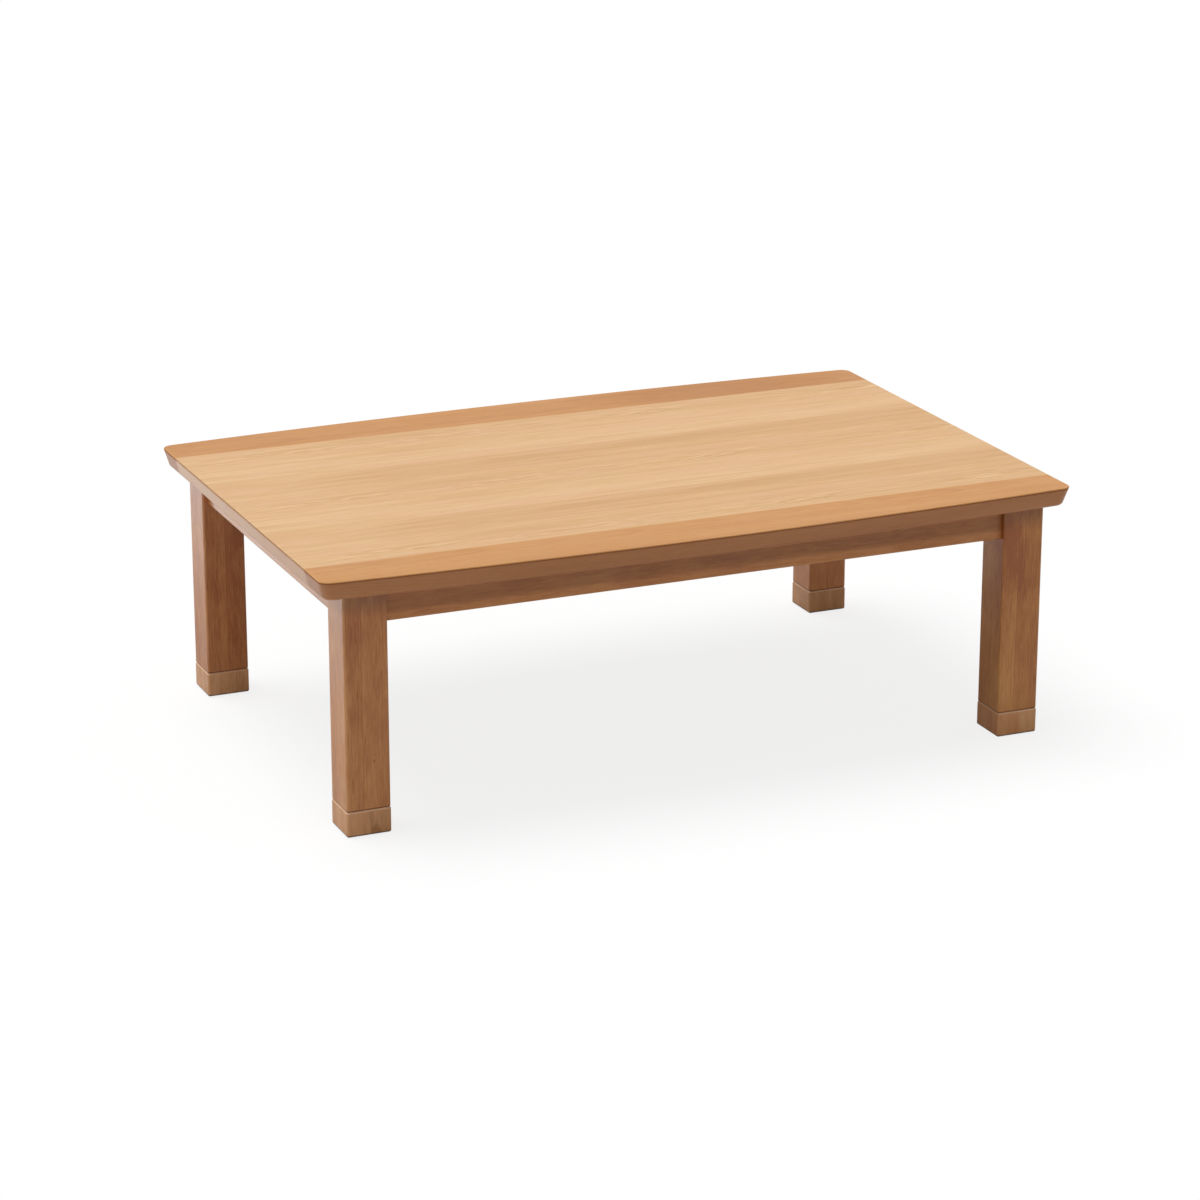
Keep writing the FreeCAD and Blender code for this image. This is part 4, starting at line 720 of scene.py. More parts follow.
def solids_of(node):
    """Give the corner points of each separate solid of a CAD node, read from a merged copy."""
    copy = frame["nodes"][node].copy()
    copy.data = copy.data.copy()
    bpy.context.scene.collection.objects.link(copy)
    select_only(copy)
    bpy.ops.object.mode_set(mode="EDIT")
    bpy.ops.mesh.select_all(action="SELECT")
    bpy.ops.mesh.remove_doubles(threshold=0.01 * MM)
    bpy.ops.mesh.separate(type="LOOSE")
    bpy.ops.object.mode_set(mode="OBJECT")
    parts = list(bpy.context.selected_objects)
    points = [np.array([vertex.co for vertex in part.data.vertices]) for part in parts]
    for part in parts:
        bpy.data.objects.remove(part)
    return points


def seat_of(points, drop, flat=False):
    """Find how a piece lies: +Z runs along it to its wider end, from an origin that far below its top.
    A flat piece also has +X along its width."""
    if flat:
        axis = min(DIAGONALS, key=lambda way: np.ptp(points @ way))
    else:
        axis = max((*np.eye(3), *DIAGONALS), key=lambda way: np.ptp(points @ way))
    heights = points @ axis
    around = points - np.outer(heights, axis)
    middle = (around.min(0) + around.max(0)) / 2
    reach = np.linalg.norm(around - middle, axis=1)
    third = np.ptp(heights) / 3
    top_reach = reach[heights > heights.max() - third].max()
    if reach[heights < heights.min() + third].max() > top_reach:
        axis, heights = -axis, -heights
    origin = Vector(middle + axis * (heights.max() - drop))
    upwards = Vector(axis)
    if not flat:
        turn = upwards.to_track_quat("Z", "Y").to_matrix()
    else:
        sideways = Vector(np.linalg.svd(around - middle, full_matrices=False)[2][0])
        turn = Matrix((sideways, upwards.cross(sideways), upwards)).transposed()
    return Matrix.Translation(origin) @ turn.to_4x4()


def fit_copies(pattern, seats):
    """Copy a piece to each seat, each copy with its own mesh, and join the copies."""
    copies = []
    for seat in seats:
        copy = pattern.copy()
        copy.data = pattern.data.copy()
        copy.data.transform(seat)
        bpy.context.scene.collection.objects.link(copy)
        copies.append(copy)
    bpy.data.objects.remove(pattern)
    return joined(copies)


def joined(pieces):
    """Join pieces into one."""
    select_only(*pieces)
    bpy.ops.object.join()
    return bpy.context.object


def stand_for(piece, name, body, material, node):
    """Name a finished piece, dress it and let it stand for a CAD node on that node's body."""
    piece.name = name
    dress(piece, material)
    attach(piece, body)
    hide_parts(node)


# A wood's three tones, how strongly each part of the grain darkens it, and its rings' spacing and wander
Timber = namedtuple(
    "Timber", "pale middle dark rings streaks clouds flecks fibre pores spacing wander roughness gloss")


def timber_of(kind):
    """Read one wood's look from the settings."""
    woods = bpy.context.scene.table_woods
    shares = {
        "band": (0.22, 0.8, 0.2, 0.5, 0.35, 0.20, 3.2 * MM, 9 * MM, 0.56, 0.2),
        "frame": (0.08, 0.5, 0.9, 0.9, 0.25, 0.25, 3.6 * MM, 8 * MM, 0.42, 0.5),
        "foot": (0.10, 0.4, 0.8, 0.8, 0.25, 0.25, 3.4 * MM, 6 * MM, 0.44, 0.5),
        "softwood": (0.75, 0.5, 0.1, 0.2, 0.25, 0.05, 3.0 * MM, 5 * MM, 0.62, 0.3),
    }[kind]
    return Timber(*(getattr(woods, f"{kind}_{part}")[:] for part in ("pale", "middle", "dark")), *shares)


def tinted(timber, code):
    """Multiply a wood's three tones by a tint."""
    tint = tone(code)
    tones = (tuple(part * share for part, share in zip(colour, tint)) for colour in timber[:3])
    return Timber(*tones, *timber[3:])


def glossier(timber):
    """Give a wood a smoother, glossier lacquer."""
    return timber._replace(roughness=0.36, gloss=0.7)


def marked(graph, place, depth, marks):
    """Darken or lighten a grain by short streaks and patches, each a (middle, reach, strength)."""
    for middle, reach, strength in marks:
        mask = graph.effect("Grain Mark", vector=place, place=middle, reach=reach)["Mask"]
        depth = graph.total(depth, (mask, strength))
    return depth


def wooden(node, timber, turn, heart, seed, taper=0.03, kind="wood", seam=None, shade=0.0, knot=None,
           lines=None, marks=(), polish=0.0, dull_rim=0.0):
    """Dress one board in wood, its rings about a heart measured from the board's centre.

    A seam is the place along X of a glued joint and the shade of the board beyond it, a knot has a place, a
    size and a shade, and lines is a function that colours the board further. Its sides are smoother than its
    top by polish, and rougher than them by dull_rim at the tabletop's upper rim.
    """
    name = f"{node.removeprefix('tabletop_')}_{kind}"
    material, graph, shader, place = new_material(name, specular_ior_level=timber.gloss)
    centre, half = centre_and_half(node)
    centred = graph.vector("SUBTRACT", place, tuple(centre))
    grain_place = graph.laid(place, tuple(centre), turn)
    darker, joint = shade, 0.0
    middle_tone, board_shift = 0.45, (0.43, 0.031, 0.047)
    joint_width, joint_core, worn_and_highlit_width = 0.9 * MM, 0.2 * MM, 4.5 * MM
    if seam:
        level, far_shade = seam
        beyond = graph.maths("SUBTRACT", graph.parts(place)[0], level)
        side = graph.maths("GREATER_THAN", beyond, 0.0)
        other_board = graph.vector("SCALE", board_shift, scale=side)
        grain_place = graph.vector("ADD", grain_place, other_board)
        darker = graph.total(shade, (side, far_shade))
        joint = graph.spread(graph.maths("ABSOLUTE", beyond), joint_width, joint_core)
    if knot:
        knot_place, knot_size, knot_shade = knot
        knot_place = Euler(turn).to_matrix().inverted() @ (Vector(knot_place) - centre)
        laid = graph.laid(place, tuple(centre), turn)
        swirl = graph.effect("Knot", vector=laid, place=tuple(knot_place), size=knot_size)
        pushed = graph.times(swirl["Push"], knot_size)
        grain_place = graph.vector("ADD", grain_place, graph.together(0.0, pushed, pushed))
    grain = graph.effect("Wood Grain", vector=grain_place, seed=seed, heart=heart, taper=taper,
                         spacing=timber.spacing, wander=timber.wander)
    depth = graph.total(
        middle_tone - (timber.streaks + timber.clouds + timber.flecks + timber.fibre) / 2,
        (grain["Rings"], timber.rings), (grain["Streaks"], timber.streaks), (grain["Clouds"], timber.clouds),
        (grain["Flecks"], timber.flecks), (grain["Fibre"], timber.fibre), (grain["Pores"], timber.pores),
        (darker, 1.0), (joint, 0.25))
    # Lighter rounded edges: wear, and a painted highlight where the rounding catches the light
    worn_and_highlit_edge = graph.effect("Rounded Edge", vector=centred, half=tuple(half), width=worn_and_highlit_width)["Mask"]
    depth = graph.total(depth, (worn_and_highlit_edge, -0.22))
    if knot:
        depth = graph.total(depth, (swirl["Core"], knot_shade))
    depth = marked(graph, place, depth, marks)
    colour = graph.ramp(depth, (0.0, timber.pale), (0.42, timber.middle), (1.0, timber.dark))
    if lines:
        colour = lines(graph, place, colour)
    handling = graph.effect("Handling", vector=grain_place, seed=seed)
    roughness = graph.total(
        timber.roughness, (handling["Smudges"], -0.07), (handling["Scratches"], 0.08), (grain["Pores"], 0.1))
    if polish or dull_rim:
        rim_start, rim_full = CAD_BOX[1].z - 6 * MM, CAD_BOX[1].z - 2.5 * MM
        sideways = graph.spread(graph.height(graph.normal()), 0.9, 0.6)
        rim = graph.spread(graph.height(place), rim_start, rim_full)
        change = graph.total(-polish, (rim, dull_rim))
        roughness = graph.total(roughness, (graph.times(sideways, change), 1.0))
    relief = graph.total(
        0.0, (grain["Fibre"], 0.35), (grain["Pores"], -0.6), (handling["Scratches"], -0.2), (joint, -0.6))
    coat(graph, shader, colour, roughness, relief, 0.06 * MM)
    dress(frame["nodes"][node], material)


def edge_line(graph, place, colour, drop=1.7 * MM):
    """Draw a thin dark line round the tabletop just under its upper edge."""
    below = graph.maths("SUBTRACT", graph.height(place), CAD_BOX[1].z - drop)
    away = graph.maths("ABSOLUTE", below)
    line = graph.spread(away, 1.6 * MM, 0.4 * MM, 0.0, 0.6)
    return graph.shade(line, colour, "#9c6c48")


def band_edge_painted_shade(graph, place, colour):
    """Draw the thin dark line of a band, and darken the edge below it with painted shade, as that face gets
    less light than the top.
    """
    drop, half_width = 2.4 * MM, 0.9 * MM
    level = CAD_BOX[1].z - drop
    # Painted shade on the band's edge face below its rim
    below = graph.spread(graph.height(place), level + half_width, level - half_width)
    return edge_line(graph, place, graph.shade(below, colour, "#e8dce8"), drop)


def foot_painted_light(graph, place, colour):
    """Paint a highlight on a foot's upper rim, where the chamfer catches the light, and a contact shadow
    that darkens it towards the floor.
    """
    painted_highlight_rim, painted_contact_shadow = (37.9 * MM, 39.1 * MM), (6.0 * MM, 3.4 * MM)
    ragged = graph.noise(place, 0.012, detail=3)
    height = graph.total(0.0, (graph.height(place), 1.0), (ragged, 1.6 * MM))
    # Painted highlight along the upper rim
    colour = graph.mix(graph.spread(height, *painted_highlight_rim, 0.0, 0.85), colour, tone("#f6cba2"))
    # Painted contact shadow towards the floor
    return graph.shade(graph.spread(height, *painted_contact_shadow), colour, "#5f5044")


def leg_painted_shade(graph, place, colour):
    """Darken a leg with painted shadow just under the top, where the overhang keeps the light off, and with
    painted shade on the bevel round its lower end, over the foot.
    """
    low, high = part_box("leg_front_left")
    height = graph.height(place)
    painted_shade_on_bevel = graph.spread(height, low.z + 2.8 * MM, low.z + 1.2 * MM)
    painted_shadow_under_top = graph.spread(height, high.z - 40 * MM, high.z - 6 * MM)
    # Painted shade on the bevel over the foot, and painted shadow under the tabletop's overhang
    colour = graph.shade(painted_shade_on_bevel, colour, "#b08a6a")
    return graph.shade(painted_shadow_under_top, colour, "#cecece")


class FinishTabletop(Operator):
    """Veneer in matched leaves, reddish bands, edge strips, core and backing sheet"""

    bl_idname = "heated_table.finish_tabletop"
    bl_label = "Finish tabletop"

    # Short streaks of the veneer, each its middle, its reach and how much darker it is
    marks = (
        ((0.585, 0.287, 0.395), (0.022, 0.006, 1.0), 0.5),
        ((0.540, 0.002, 0.395), (0.034, 0.003, 1.0), 0.45),
        ((0.500, -0.266, 0.395), (0.038, 0.003, 1.0), -0.45),
        ((-0.22, -0.262, 0.395), (0.012, 0.004, 1.0), 0.4),
        ((-0.16, -0.005, 0.395), (0.010, 0.004, 1.0), 0.4),
        ((0.16, 0.262, 0.395), (0.012, 0.004, 1.0), 0.35),
    )

    def veneer(self):
        """Three leaves of pale veneer, each a slice further into the same log."""
        woods = bpy.context.scene.table_woods
        material, graph, shader, place = new_material("pale_veneer_leaves", specular_ior_level=0.2)
        along, across, _ = graph.parts(place)
        start, end = -woods.leaf_start, woods.leaf_width - woods.leaf_start
        in_leaf = graph.maths("WRAP", across, end, start)
        leaf = graph.maths("ROUND", graph.maths("DIVIDE", across, woods.leaf_width))
        slice_depth = graph.times(leaf, 0.6 * MM)
        grain_place = graph.together(along, in_leaf, slice_depth)
        from_heart = graph.maths("ABSOLUTE", in_leaf)
        figured = graph.spread(from_heart, 42 * MM, 8 * MM)
        wander = graph.total(7 * MM, (figured, 9 * MM))
        grain = graph.effect(
            "Wood Grain", vector=grain_place, seed=3.0, heart=(0.1, 0.0, -0.012), taper=0.035,
            spacing=4.2 * MM, wander=wander)
        across_leaf = (
            (0.0, 0.42), (0.04, 0.12), (0.16, 0.0), (0.30, 0.2), (0.45, 0.42), (0.64, 0.46), (0.78, 0.6),
            (0.87, 0.95), (0.95, 0.92), (1.0, 0.42))
        leaf_share = graph.spread(in_leaf, start, end, smooth=False)
        stripe = graph.ramp(leaf_share, *across_leaf, kind="B_SPLINE")
        fades = graph.spread(along, -0.50, -0.30, 0.45, 1.0)
        striped = graph.times(stripe, fades)
        ring_share = graph.total(0.10, (figured, 0.32))
        bend = graph.total(-9 * MM, (graph.noise(grain_place, (0.30, 0.07, 0.07), 4.0, 2), 18 * MM))
        bent = graph.vector("ADD", grain_place, graph.together(0.0, bend, 0.0))
        lines = graph.noise(bent, (0.17, 0.0065, 0.0065), 5.0, 4, 0.7)
        undulation = graph.noise(grain_place, (0.085, 0.021, 0.021), 6.0, 3)
        phase = graph.total(0.0, (from_heart, 1 / (10 * MM)), (along, 4.0), (undulation, 4.2))
        loops = graph.maths("SINE", graph.times(phase, math.tau))
        patches = graph.spread(graph.noise(grain_place, (0.25, 0.06, 0.06), 7.0, 1), 0.40, 0.56)
        figure = graph.times(graph.times(figured, patches), loops)
        bands = graph.noise(bent, (0.35, 0.018, 0.018), 8.0, 3, 0.6)
        depth = graph.total(
            -1.595, (striped, 0.62), (graph.times(grain["Rings"], ring_share), 1.0),
            (grain["Streaks"], 0.3), (bands, 0.9), (lines, 1.6), (grain["Flecks"], 0.4),
            (grain["Fibre"], 0.28), (grain["Pores"], 0.3), (figure, 0.34))
        depth = marked(graph, place, depth, self.marks)
        tones = (woods.veneer_pale[:], woods.veneer_middle[:], woods.veneer_dark[:])
        colour = graph.ramp(depth, *zip((0.0, 0.4, 1.0), tones))
        cut_edge = graph.spread(graph.height(graph.normal()), 0.98, 0.6, 0.0, 0.55)
        colour = graph.mix(cut_edge, colour, tone("#7a4c2e"))
        cast = graph.spread(graph.noise(grain_place, (0.45, 0.018, 0.018), 9.0, 2), 0.44, 0.62, 0.0, 0.4)
        colour = graph.mix(cast, colour, woods.veneer_blush[:])
        handling = graph.effect("Handling", vector=grain_place, seed=1.0)
        roughness = graph.total(
            0.58, (handling["Smudges"], -0.06), (handling["Scratches"], 0.07), (cut_edge, 0.4))
        relief = graph.total(0.0, (grain["Fibre"], 0.3), (grain["Pores"], -0.5))
        coat(graph, shader, colour, roughness, relief, 0.05 * MM)
        return material

    def fibre_sheet(self, name, pale, dark, fleck_size):
        """Pressed fibres: the core board's edge and the resin paper under it."""
        material, graph, shader, place = new_material(name, specular_ior_level=0.25)
        flecks = graph.noise(place, fleck_size, detail=3, roughness=0.7)
        clouds = graph.noise(place, 0.09, detail=3)
        depth = graph.total(0.0, (flecks, 0.75), (clouds, 0.3))
        colour = graph.ramp(depth, (0.25, tone(pale)), (0.8, tone(dark)))
        coat(graph, shader, colour, graph.spread(clouds, 0.2, 0.8, 0.6, 0.78), flecks, 0.08 * MM)
        return material

    def execute(self, context):
        nodes = frame["nodes"]
        band = timber_of("band")
        dress(nodes["tabletop_veneer"], self.veneer())
        band_looks = {"lines": band_edge_painted_shade, "polish": 0.2, "dull_rim": 0.4}
        redder = ((0.36, 0.35, 0.39), (0.34, 0.15, 0.15), 0.35)
        wooden("tabletop_band_front", band, ALONG_X, (0.0, 0.03, -0.05), 11.0, **band_looks)
        wooden("tabletop_band_back", band, ALONG_X, (0.1, -0.02, -0.06), 12.0, shade=0.12, marks=(redder,),
               **band_looks)
        for side, seed in (("left", 13.0), ("right", 14.0)):
            wooden(f"tabletop_edge_strip_{side}", glossier(band), ALONG_Y, (0.0, 0.01, -0.04), seed,
                   lines=edge_line, dull_rim=0.35)
        dress(nodes["tabletop_core"], self.fibre_sheet("core_board", "#c9a678", "#9c7747", 1.4 * MM))
        dress(nodes["tabletop_backing"], self.fibre_sheet(
            "backing_resin_paper", "#cdb48d", "#ab8d62", (5 * MM, 0.8 * MM, 0.8 * MM)))
        return {"FINISHED"}


class FinishFrame(Operator):
    """Legs of glued boards, aprons and foot blocks, all in satin lacquer"""

    bl_idname = "heated_table.finish_frame"
    bl_label = "Finish legs, aprons and feet"

    # Of each leg and foot: the place of its glued joint, the shade beyond it, its own shade and its tint
    legs = {
        "front_left": (-0.536, 0.10, 0.0, "#ffffff"), "front_right": (0.521, 0.18, 0.02, "#fffde6"),
        "back_right": (0.528, 0.06, -0.05, "#fff3ee"), "back_left": (-0.527, 0.14, 0.24, "#ffffff"),
    }
    feet = {
        "front_left": (-0.5264, 0.10, 0.0, "#ffffff"), "front_right": (0.530, -0.12, -0.12, "#fff1e3"),
        "back_right": (0.540, 0.10, 0.1, "#ffffff"), "back_left": (-0.516, 0.15, 0.05, "#ffffff"),
    }
    # Darker and lighter patches, each its middle, its reach and how much darker it is
    marks = {
        "leg_front_right": (
            ((0.505, -0.36, 0.30), (0.04, 0.06, 0.15), 0.52),
            ((0.505, -0.36, 0.33), (0.02, 0.05, 0.03), 0.3),
            ((0.552, -0.36, 0.245), (0.02, 0.05, 0.02), 0.2),
            ((0.515, -0.36, 0.07), (0.06, 0.06, 0.08), -0.25)),
        "leg_front_left": (
            ((-0.53, -0.36, 0.33), (0.06, 0.06, 0.06), 0.2),
            ((-0.551, -0.36, 0.29), (0.020, 0.05, 0.09), 0.32),
            ((-0.549, -0.36, 0.185), (0.012, 0.05, 0.035), 0.3),
            ((-0.53, -0.36, 0.07), (0.06, 0.06, 0.07), -0.12)),
        "leg_back_left": (((-0.506, 0.293, 0.265), (0.018, 0.05, 0.032), 0.45),),
        "foot_block_front_left": (((-0.5185, -0.3605, 0.004), (0.010, 0.05, 0.016), 0.9),),
    }
    # Knots, each its place, its size and how much darker it is
    knots = {
        "leg_front_left": ((-0.519, -0.360, 0.113), 2.0 * MM, 0.8),
        "apron_front": ((0.317, -0.350, 0.346), 4 * MM, 0.35),
    }

    def dark_heart(self, graph, place, colour):
        """Deepen the front apron's upper half, where it was cut near the heart."""
        wavy = graph.total(-4 * MM, (graph.noise(place, (0.25, 0.02, 0.02), 35.0, 2), 8 * MM))
        height = graph.maths("ADD", graph.height(place), wavy)
        strip = graph.times(graph.spread(height, 0.326, 0.336), graph.spread(height, 0.366, 0.348))
        colour = graph.shade(1.0, colour, "#f2eada")
        return graph.shade(strip, colour, "#d4ccb6")

    def corner_pieces(self, part, wood, boards, heart, first_seed, **looks):
        """Dress the four legs or feet, each glued up from two boards."""
        for number, corner in enumerate(CORNERS):
            node = f"{part}_{corner}"
            joint, far_shade, shade, tint = boards[corner]
            wooden(node, tinted(wood, tint), ALONG_Z, heart, first_seed + number, seam=(joint, far_shade),
                   shade=shade, knot=self.knots.get(node), marks=self.marks.get(node, ()), **looks)

    def execute(self, context):
        wood = timber_of("frame")
        self.corner_pieces("leg", wood, self.legs, (0.0, 0.05, -0.09), 21.0, taper=0.015, lines=leg_painted_shade)
        wooden("apron_front", wood, ALONG_X, (0.0, -0.06, 0.01), 31.0, knot=self.knots["apron_front"],
               lines=self.dark_heart)
        wooden("apron_back", wood, ALONG_X, (0.2, 0.07, -0.01), 32.0)
        for side, seed in (("left", 33.0), ("right", 34.0)):
            wooden(f"apron_{side}", glossier(wood), ALONG_Y, (0.0, 0.05, 0.02), seed)
        foot_wood = timber_of("foot")
        self.corner_pieces("foot_block", foot_wood, self.feet, (0.0, -0.04, -0.07), 41.0, lines=foot_painted_light)
        return {"FINISHED"}


class FitFastenings(Operator):
    """Crossed screws, threaded bolts and studs, wing nuts, washers, brackets and insert nuts"""

    bl_idname = "heated_table.fit_fastenings"
    bl_label = "Fit fastenings"

    def wing_nut(self):
        """Model a pressed wing nut that stands on Z = 0, its wings along X."""
        outer, rim, bore, lip = 7.0 * MM, 8.0 * MM, 4.1 * MM, 0.6 * MM
        hub = turned([(outer - 0.4 * MM, 0.0), (outer, 0.5 * MM), (6.1 * MM, rim - lip), (5.6 * MM, rim),
                      (4.4 * MM, rim), (bore, 7.6 * MM), (bore, lip)], ROD_SIDES)
        # Each pull that draws a wing out: its length, and how much thinner and lower the wing gets
        pulls = ((3.4 * MM, 0.82, 0.9), (3.2 * MM, 0.9, 1.0), (2.4 * MM, 0.85, 0.75))
        for side in (1, -1):
            root = (side * outer, 0, 4.2 * MM)
            wing = begin("cube", size=1, location=root, scale=(4 * MM, 3.8 * MM, 6 * MM))
            bpy.ops.object.mode_set(mode="EDIT")
            for shift, thinner, lower in pulls:
                bpy.ops.mesh.select_all(action="DESELECT")
                bpy.ops.object.mode_set(mode="OBJECT")
                outermost = max(wing.data.polygons, key=lambda face: side * face.center.x)
                outermost.select = True
                centre = outermost.center.copy()
                bpy.ops.object.mode_set(mode="EDIT")
                move = Vector((side * shift, 0, 0.9 * shift))
                bpy.ops.mesh.extrude_region_move(TRANSFORM_OT_translate={"value": move})
                bpy.ops.transform.resize(value=(1, thinner, lower), center_override=centre + move)
            close_mesh()
            apply_modifier(wing, "SUBSURF", levels=2, render_levels=2)
            combine(hub, wing, "UNION")
        smooth(hub, 40)
        return hub

    def execute(self, context):
        nodes = frame["nodes"]
        sizes = context.scene.table_hardware
        zinc = bare_metal("bright_zinc", "zinc", "zinc_dull", 0.34, 2.0, dust=0.12)
        # Each use, and its screws' radius, length and length of thread in millimetres
        screws = (
            ("bracket", 2.0, 14, 12), ("tie", 2.2, 60, 40), ("heater", 2.0, 14, 12), ("guard", 2.0, 10, 8),
            ("motor", 2.0, 6, 5))
        for use, radius, length, thread in screws:
            pattern = pan_head_screw(radius * MM, length * MM, thread * MM)
            seats = [seat_of(points, sizes.head_height) for points in solids_of(f"{use}_screws")]
            screw_set = fit_copies(pattern, seats)
            stand_for(screw_set, f"{use}_screws_threaded", "frame", zinc, f"{use}_screws")
        bolt_radius, stud_radius, chamfer, nut_height = 4 * MM, 3.88 * MM, 0.8 * MM, 15 * MM
        bolts = solids_of("hanger_bolts")
        bolt_length = max(np.ptp(bolts[0] @ way) for way in DIAGONALS)
        bolt = threaded_rod(bolt_radius, -bolt_length, 0, chamfer, sizes.metal_pitch, sizes.metal_thread)
        bolt_set = fit_copies(bolt, [seat_of(points, 0.0) for points in bolts])
        stand_for(bolt_set, "hanger_bolts_threaded", "frame", zinc, "hanger_bolts")
        nut_seats = [seat_of(points, nut_height, flat=True) for points in solids_of("wing_nuts")]
        nut_set = fit_copies(self.wing_nut(), nut_seats)
        stand_for(nut_set, "wing_nuts_pressed", "frame", zinc, "wing_nuts")
        for corner in CORNERS:
            node = f"foot_stud_{corner}"
            low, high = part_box(node)
            stud = threaded_rod(
                stud_radius, low.z, high.z, chamfer, sizes.metal_pitch, sizes.metal_thread)
            stud.data.transform(Matrix.Translation(((low.x + high.x) / 2, (low.y + high.y) / 2, 0)))
            stand_for(stud, f"{node}_threaded", f"foot_{corner}", zinc, node)
        for node in ("corner_brackets", "bolt_washers", "leg_insert_nuts"):
            dress(nodes[node], zinc)
        return {"FINISHED"}


class FinishCarrier(Operator):
    """Planed bars and ties, their dowels, rubber cushions and felt glides"""

    bl_idname = "heated_table.finish_carrier"
    bl_label = "Finish carrier, cushions and glides"

    def execute(self, context):
        nodes = frame["nodes"]
        wood = timber_of("softwood")
        bars = (
            ("crossbar_left", ALONG_Y, 51.0), ("crossbar_right", ALONG_Y, 52.0),
            ("tie_front", ALONG_X, 53.0), ("tie_back", ALONG_X, 54.0), ("crossbar_dowels", ALONG_Y, 55.0))
        for node, turn, seed in bars:
            wooden(node, wood, turn, (0.0, 0.012, -0.03), seed, taper=0.02, kind="softwood")
        rubber = moulded("cushion_rubber", "rubber", 0.5 * MM, 0.05 * MM, 0.72, dust=0.25)
        dress(nodes["frame_cushions"], rubber)
        felt = matted("pressed_felt", "felt", "felt_fleck", 0.35 * MM, 0.25 * MM, 0.5)
        for corner in CORNERS:
            dress(nodes[f"foot_glide_{corner}"], felt)
        return {"FINISHED"}


class FitHeater(Operator):
    """Painted housing, bright reflector, quartz tubes with wound wires, controls, guard and inlet"""

    bl_idname = "heated_table.fit_heater"
    bl_label = "Fit heater"

    def scorched(self, graph, place):
        """Tell where the tubes' heat has tinted the reflector."""
        across = graph.maths("ABSOLUTE", graph.parts(place)[1])
        tube_place = centre_and_half("heating_tube_back")[0].y
        away = graph.maths("ABSOLUTE", graph.maths("SUBTRACT", across, tube_place))
        ragged = graph.total(away, (graph.noise(place, 25 * MM, detail=3), 14 * MM))
        return graph.spread(ragged, 34 * MM, 8 * MM, 0.0, 0.55)

    def heating_wire(self):
        """Wind one heating wire about Z, as long as its element."""
        sizes = bpy.context.scene.table_hardware
        low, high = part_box("heating_elements")
        length = high.x - low.x
        element_radius = 2 * MM
        reach = element_radius - sizes.wire_radius
        turns = int((length - 2 * sizes.wire_radius) / sizes.wire_pitch)
        piece = begin("circle", vertices=6, radius=sizes.wire_radius, rotation=(QUARTER_TURN, 0, 0),
                      location=(reach, 0, -turns * sizes.wire_pitch / 2))
        apply_modifier(piece, "SCREW", screw_offset=sizes.wire_pitch, iterations=turns, steps=12,
                       render_steps=12, use_merge_vertices=False)
        bpy.ops.object.mode_set(mode="EDIT")
        bpy.ops.mesh.select_all(action="SELECT")
        bpy.ops.mesh.fill_holes(sides=6)
        close_mesh()
        smooth(piece, 60)
        return piece

    def execute(self, context):
        nodes = frame["nodes"]
        paint = moulded("baked_paint", "housing_paint", 1.6 * MM, 0.04 * MM, 0.42, dust=0.3)
        sheet = bare_metal(
            "bright_sheet", "aluminium", "aluminium_dull", 0.22, 4.0, brushed=(40 * MM, 0.5 * MM, 0.5 * MM),
            scorch=self.scorched)
        glass = quartz_glass()
        wire = bare_metal("oxidised_wire", "wire", "scorch", 0.55, 5.0)
        wire_seats = [seat_of(points, np.ptp(points[:, 0]) / 2) for points in solids_of("heating_elements")]
        wires = fit_copies(self.heating_wire(), wire_seats)
        stand_for(wires, "heating_wires_wound", "frame", wire, "heating_elements")
        ceramic = moulded("steatite", "ceramic", 0.5 * MM, 0.06 * MM, 0.7)
        spring = bare_metal(
            "heat_tinted_clip", "zinc", "scorch", 0.4, 6.0, brushed=(8 * MM, 0.4 * MM, 8 * MM))
        cap_metal = bare_metal("pressed_cap", "aluminium", "aluminium_dull", 0.36, 7.0)
        flock = matted("flocked_guard", "guard_flock", "guard_fleck", 0.3 * MM, 0.12 * MM, 0.35)
        plastic = moulded("inlet_moulding", "plastic", 0.4 * MM, 0.03 * MM, 0.48)
        brass = bare_metal("drawn_brass", "brass", "scorch", 0.3, 8.0, brushed=(0.4 * MM, 9 * MM, 0.4 * MM))
        for node, material in (
                ("heater_housing", paint), ("heater_reflector", sheet), ("heating_tube_front", glass),
                ("heating_tube_back", glass), ("tube_end_caps", ceramic), ("terminal_block", ceramic),
                ("tube_clips", spring), ("thermostat", cap_metal), ("thermal_fuse", cap_metal),
                ("internal_leads", braided_sleeve()), ("heater_guard", flock), ("power_inlet", plastic),
                ("inlet_pins", brass)):
            dress(nodes[node], material)
        return {"FINISHED"}


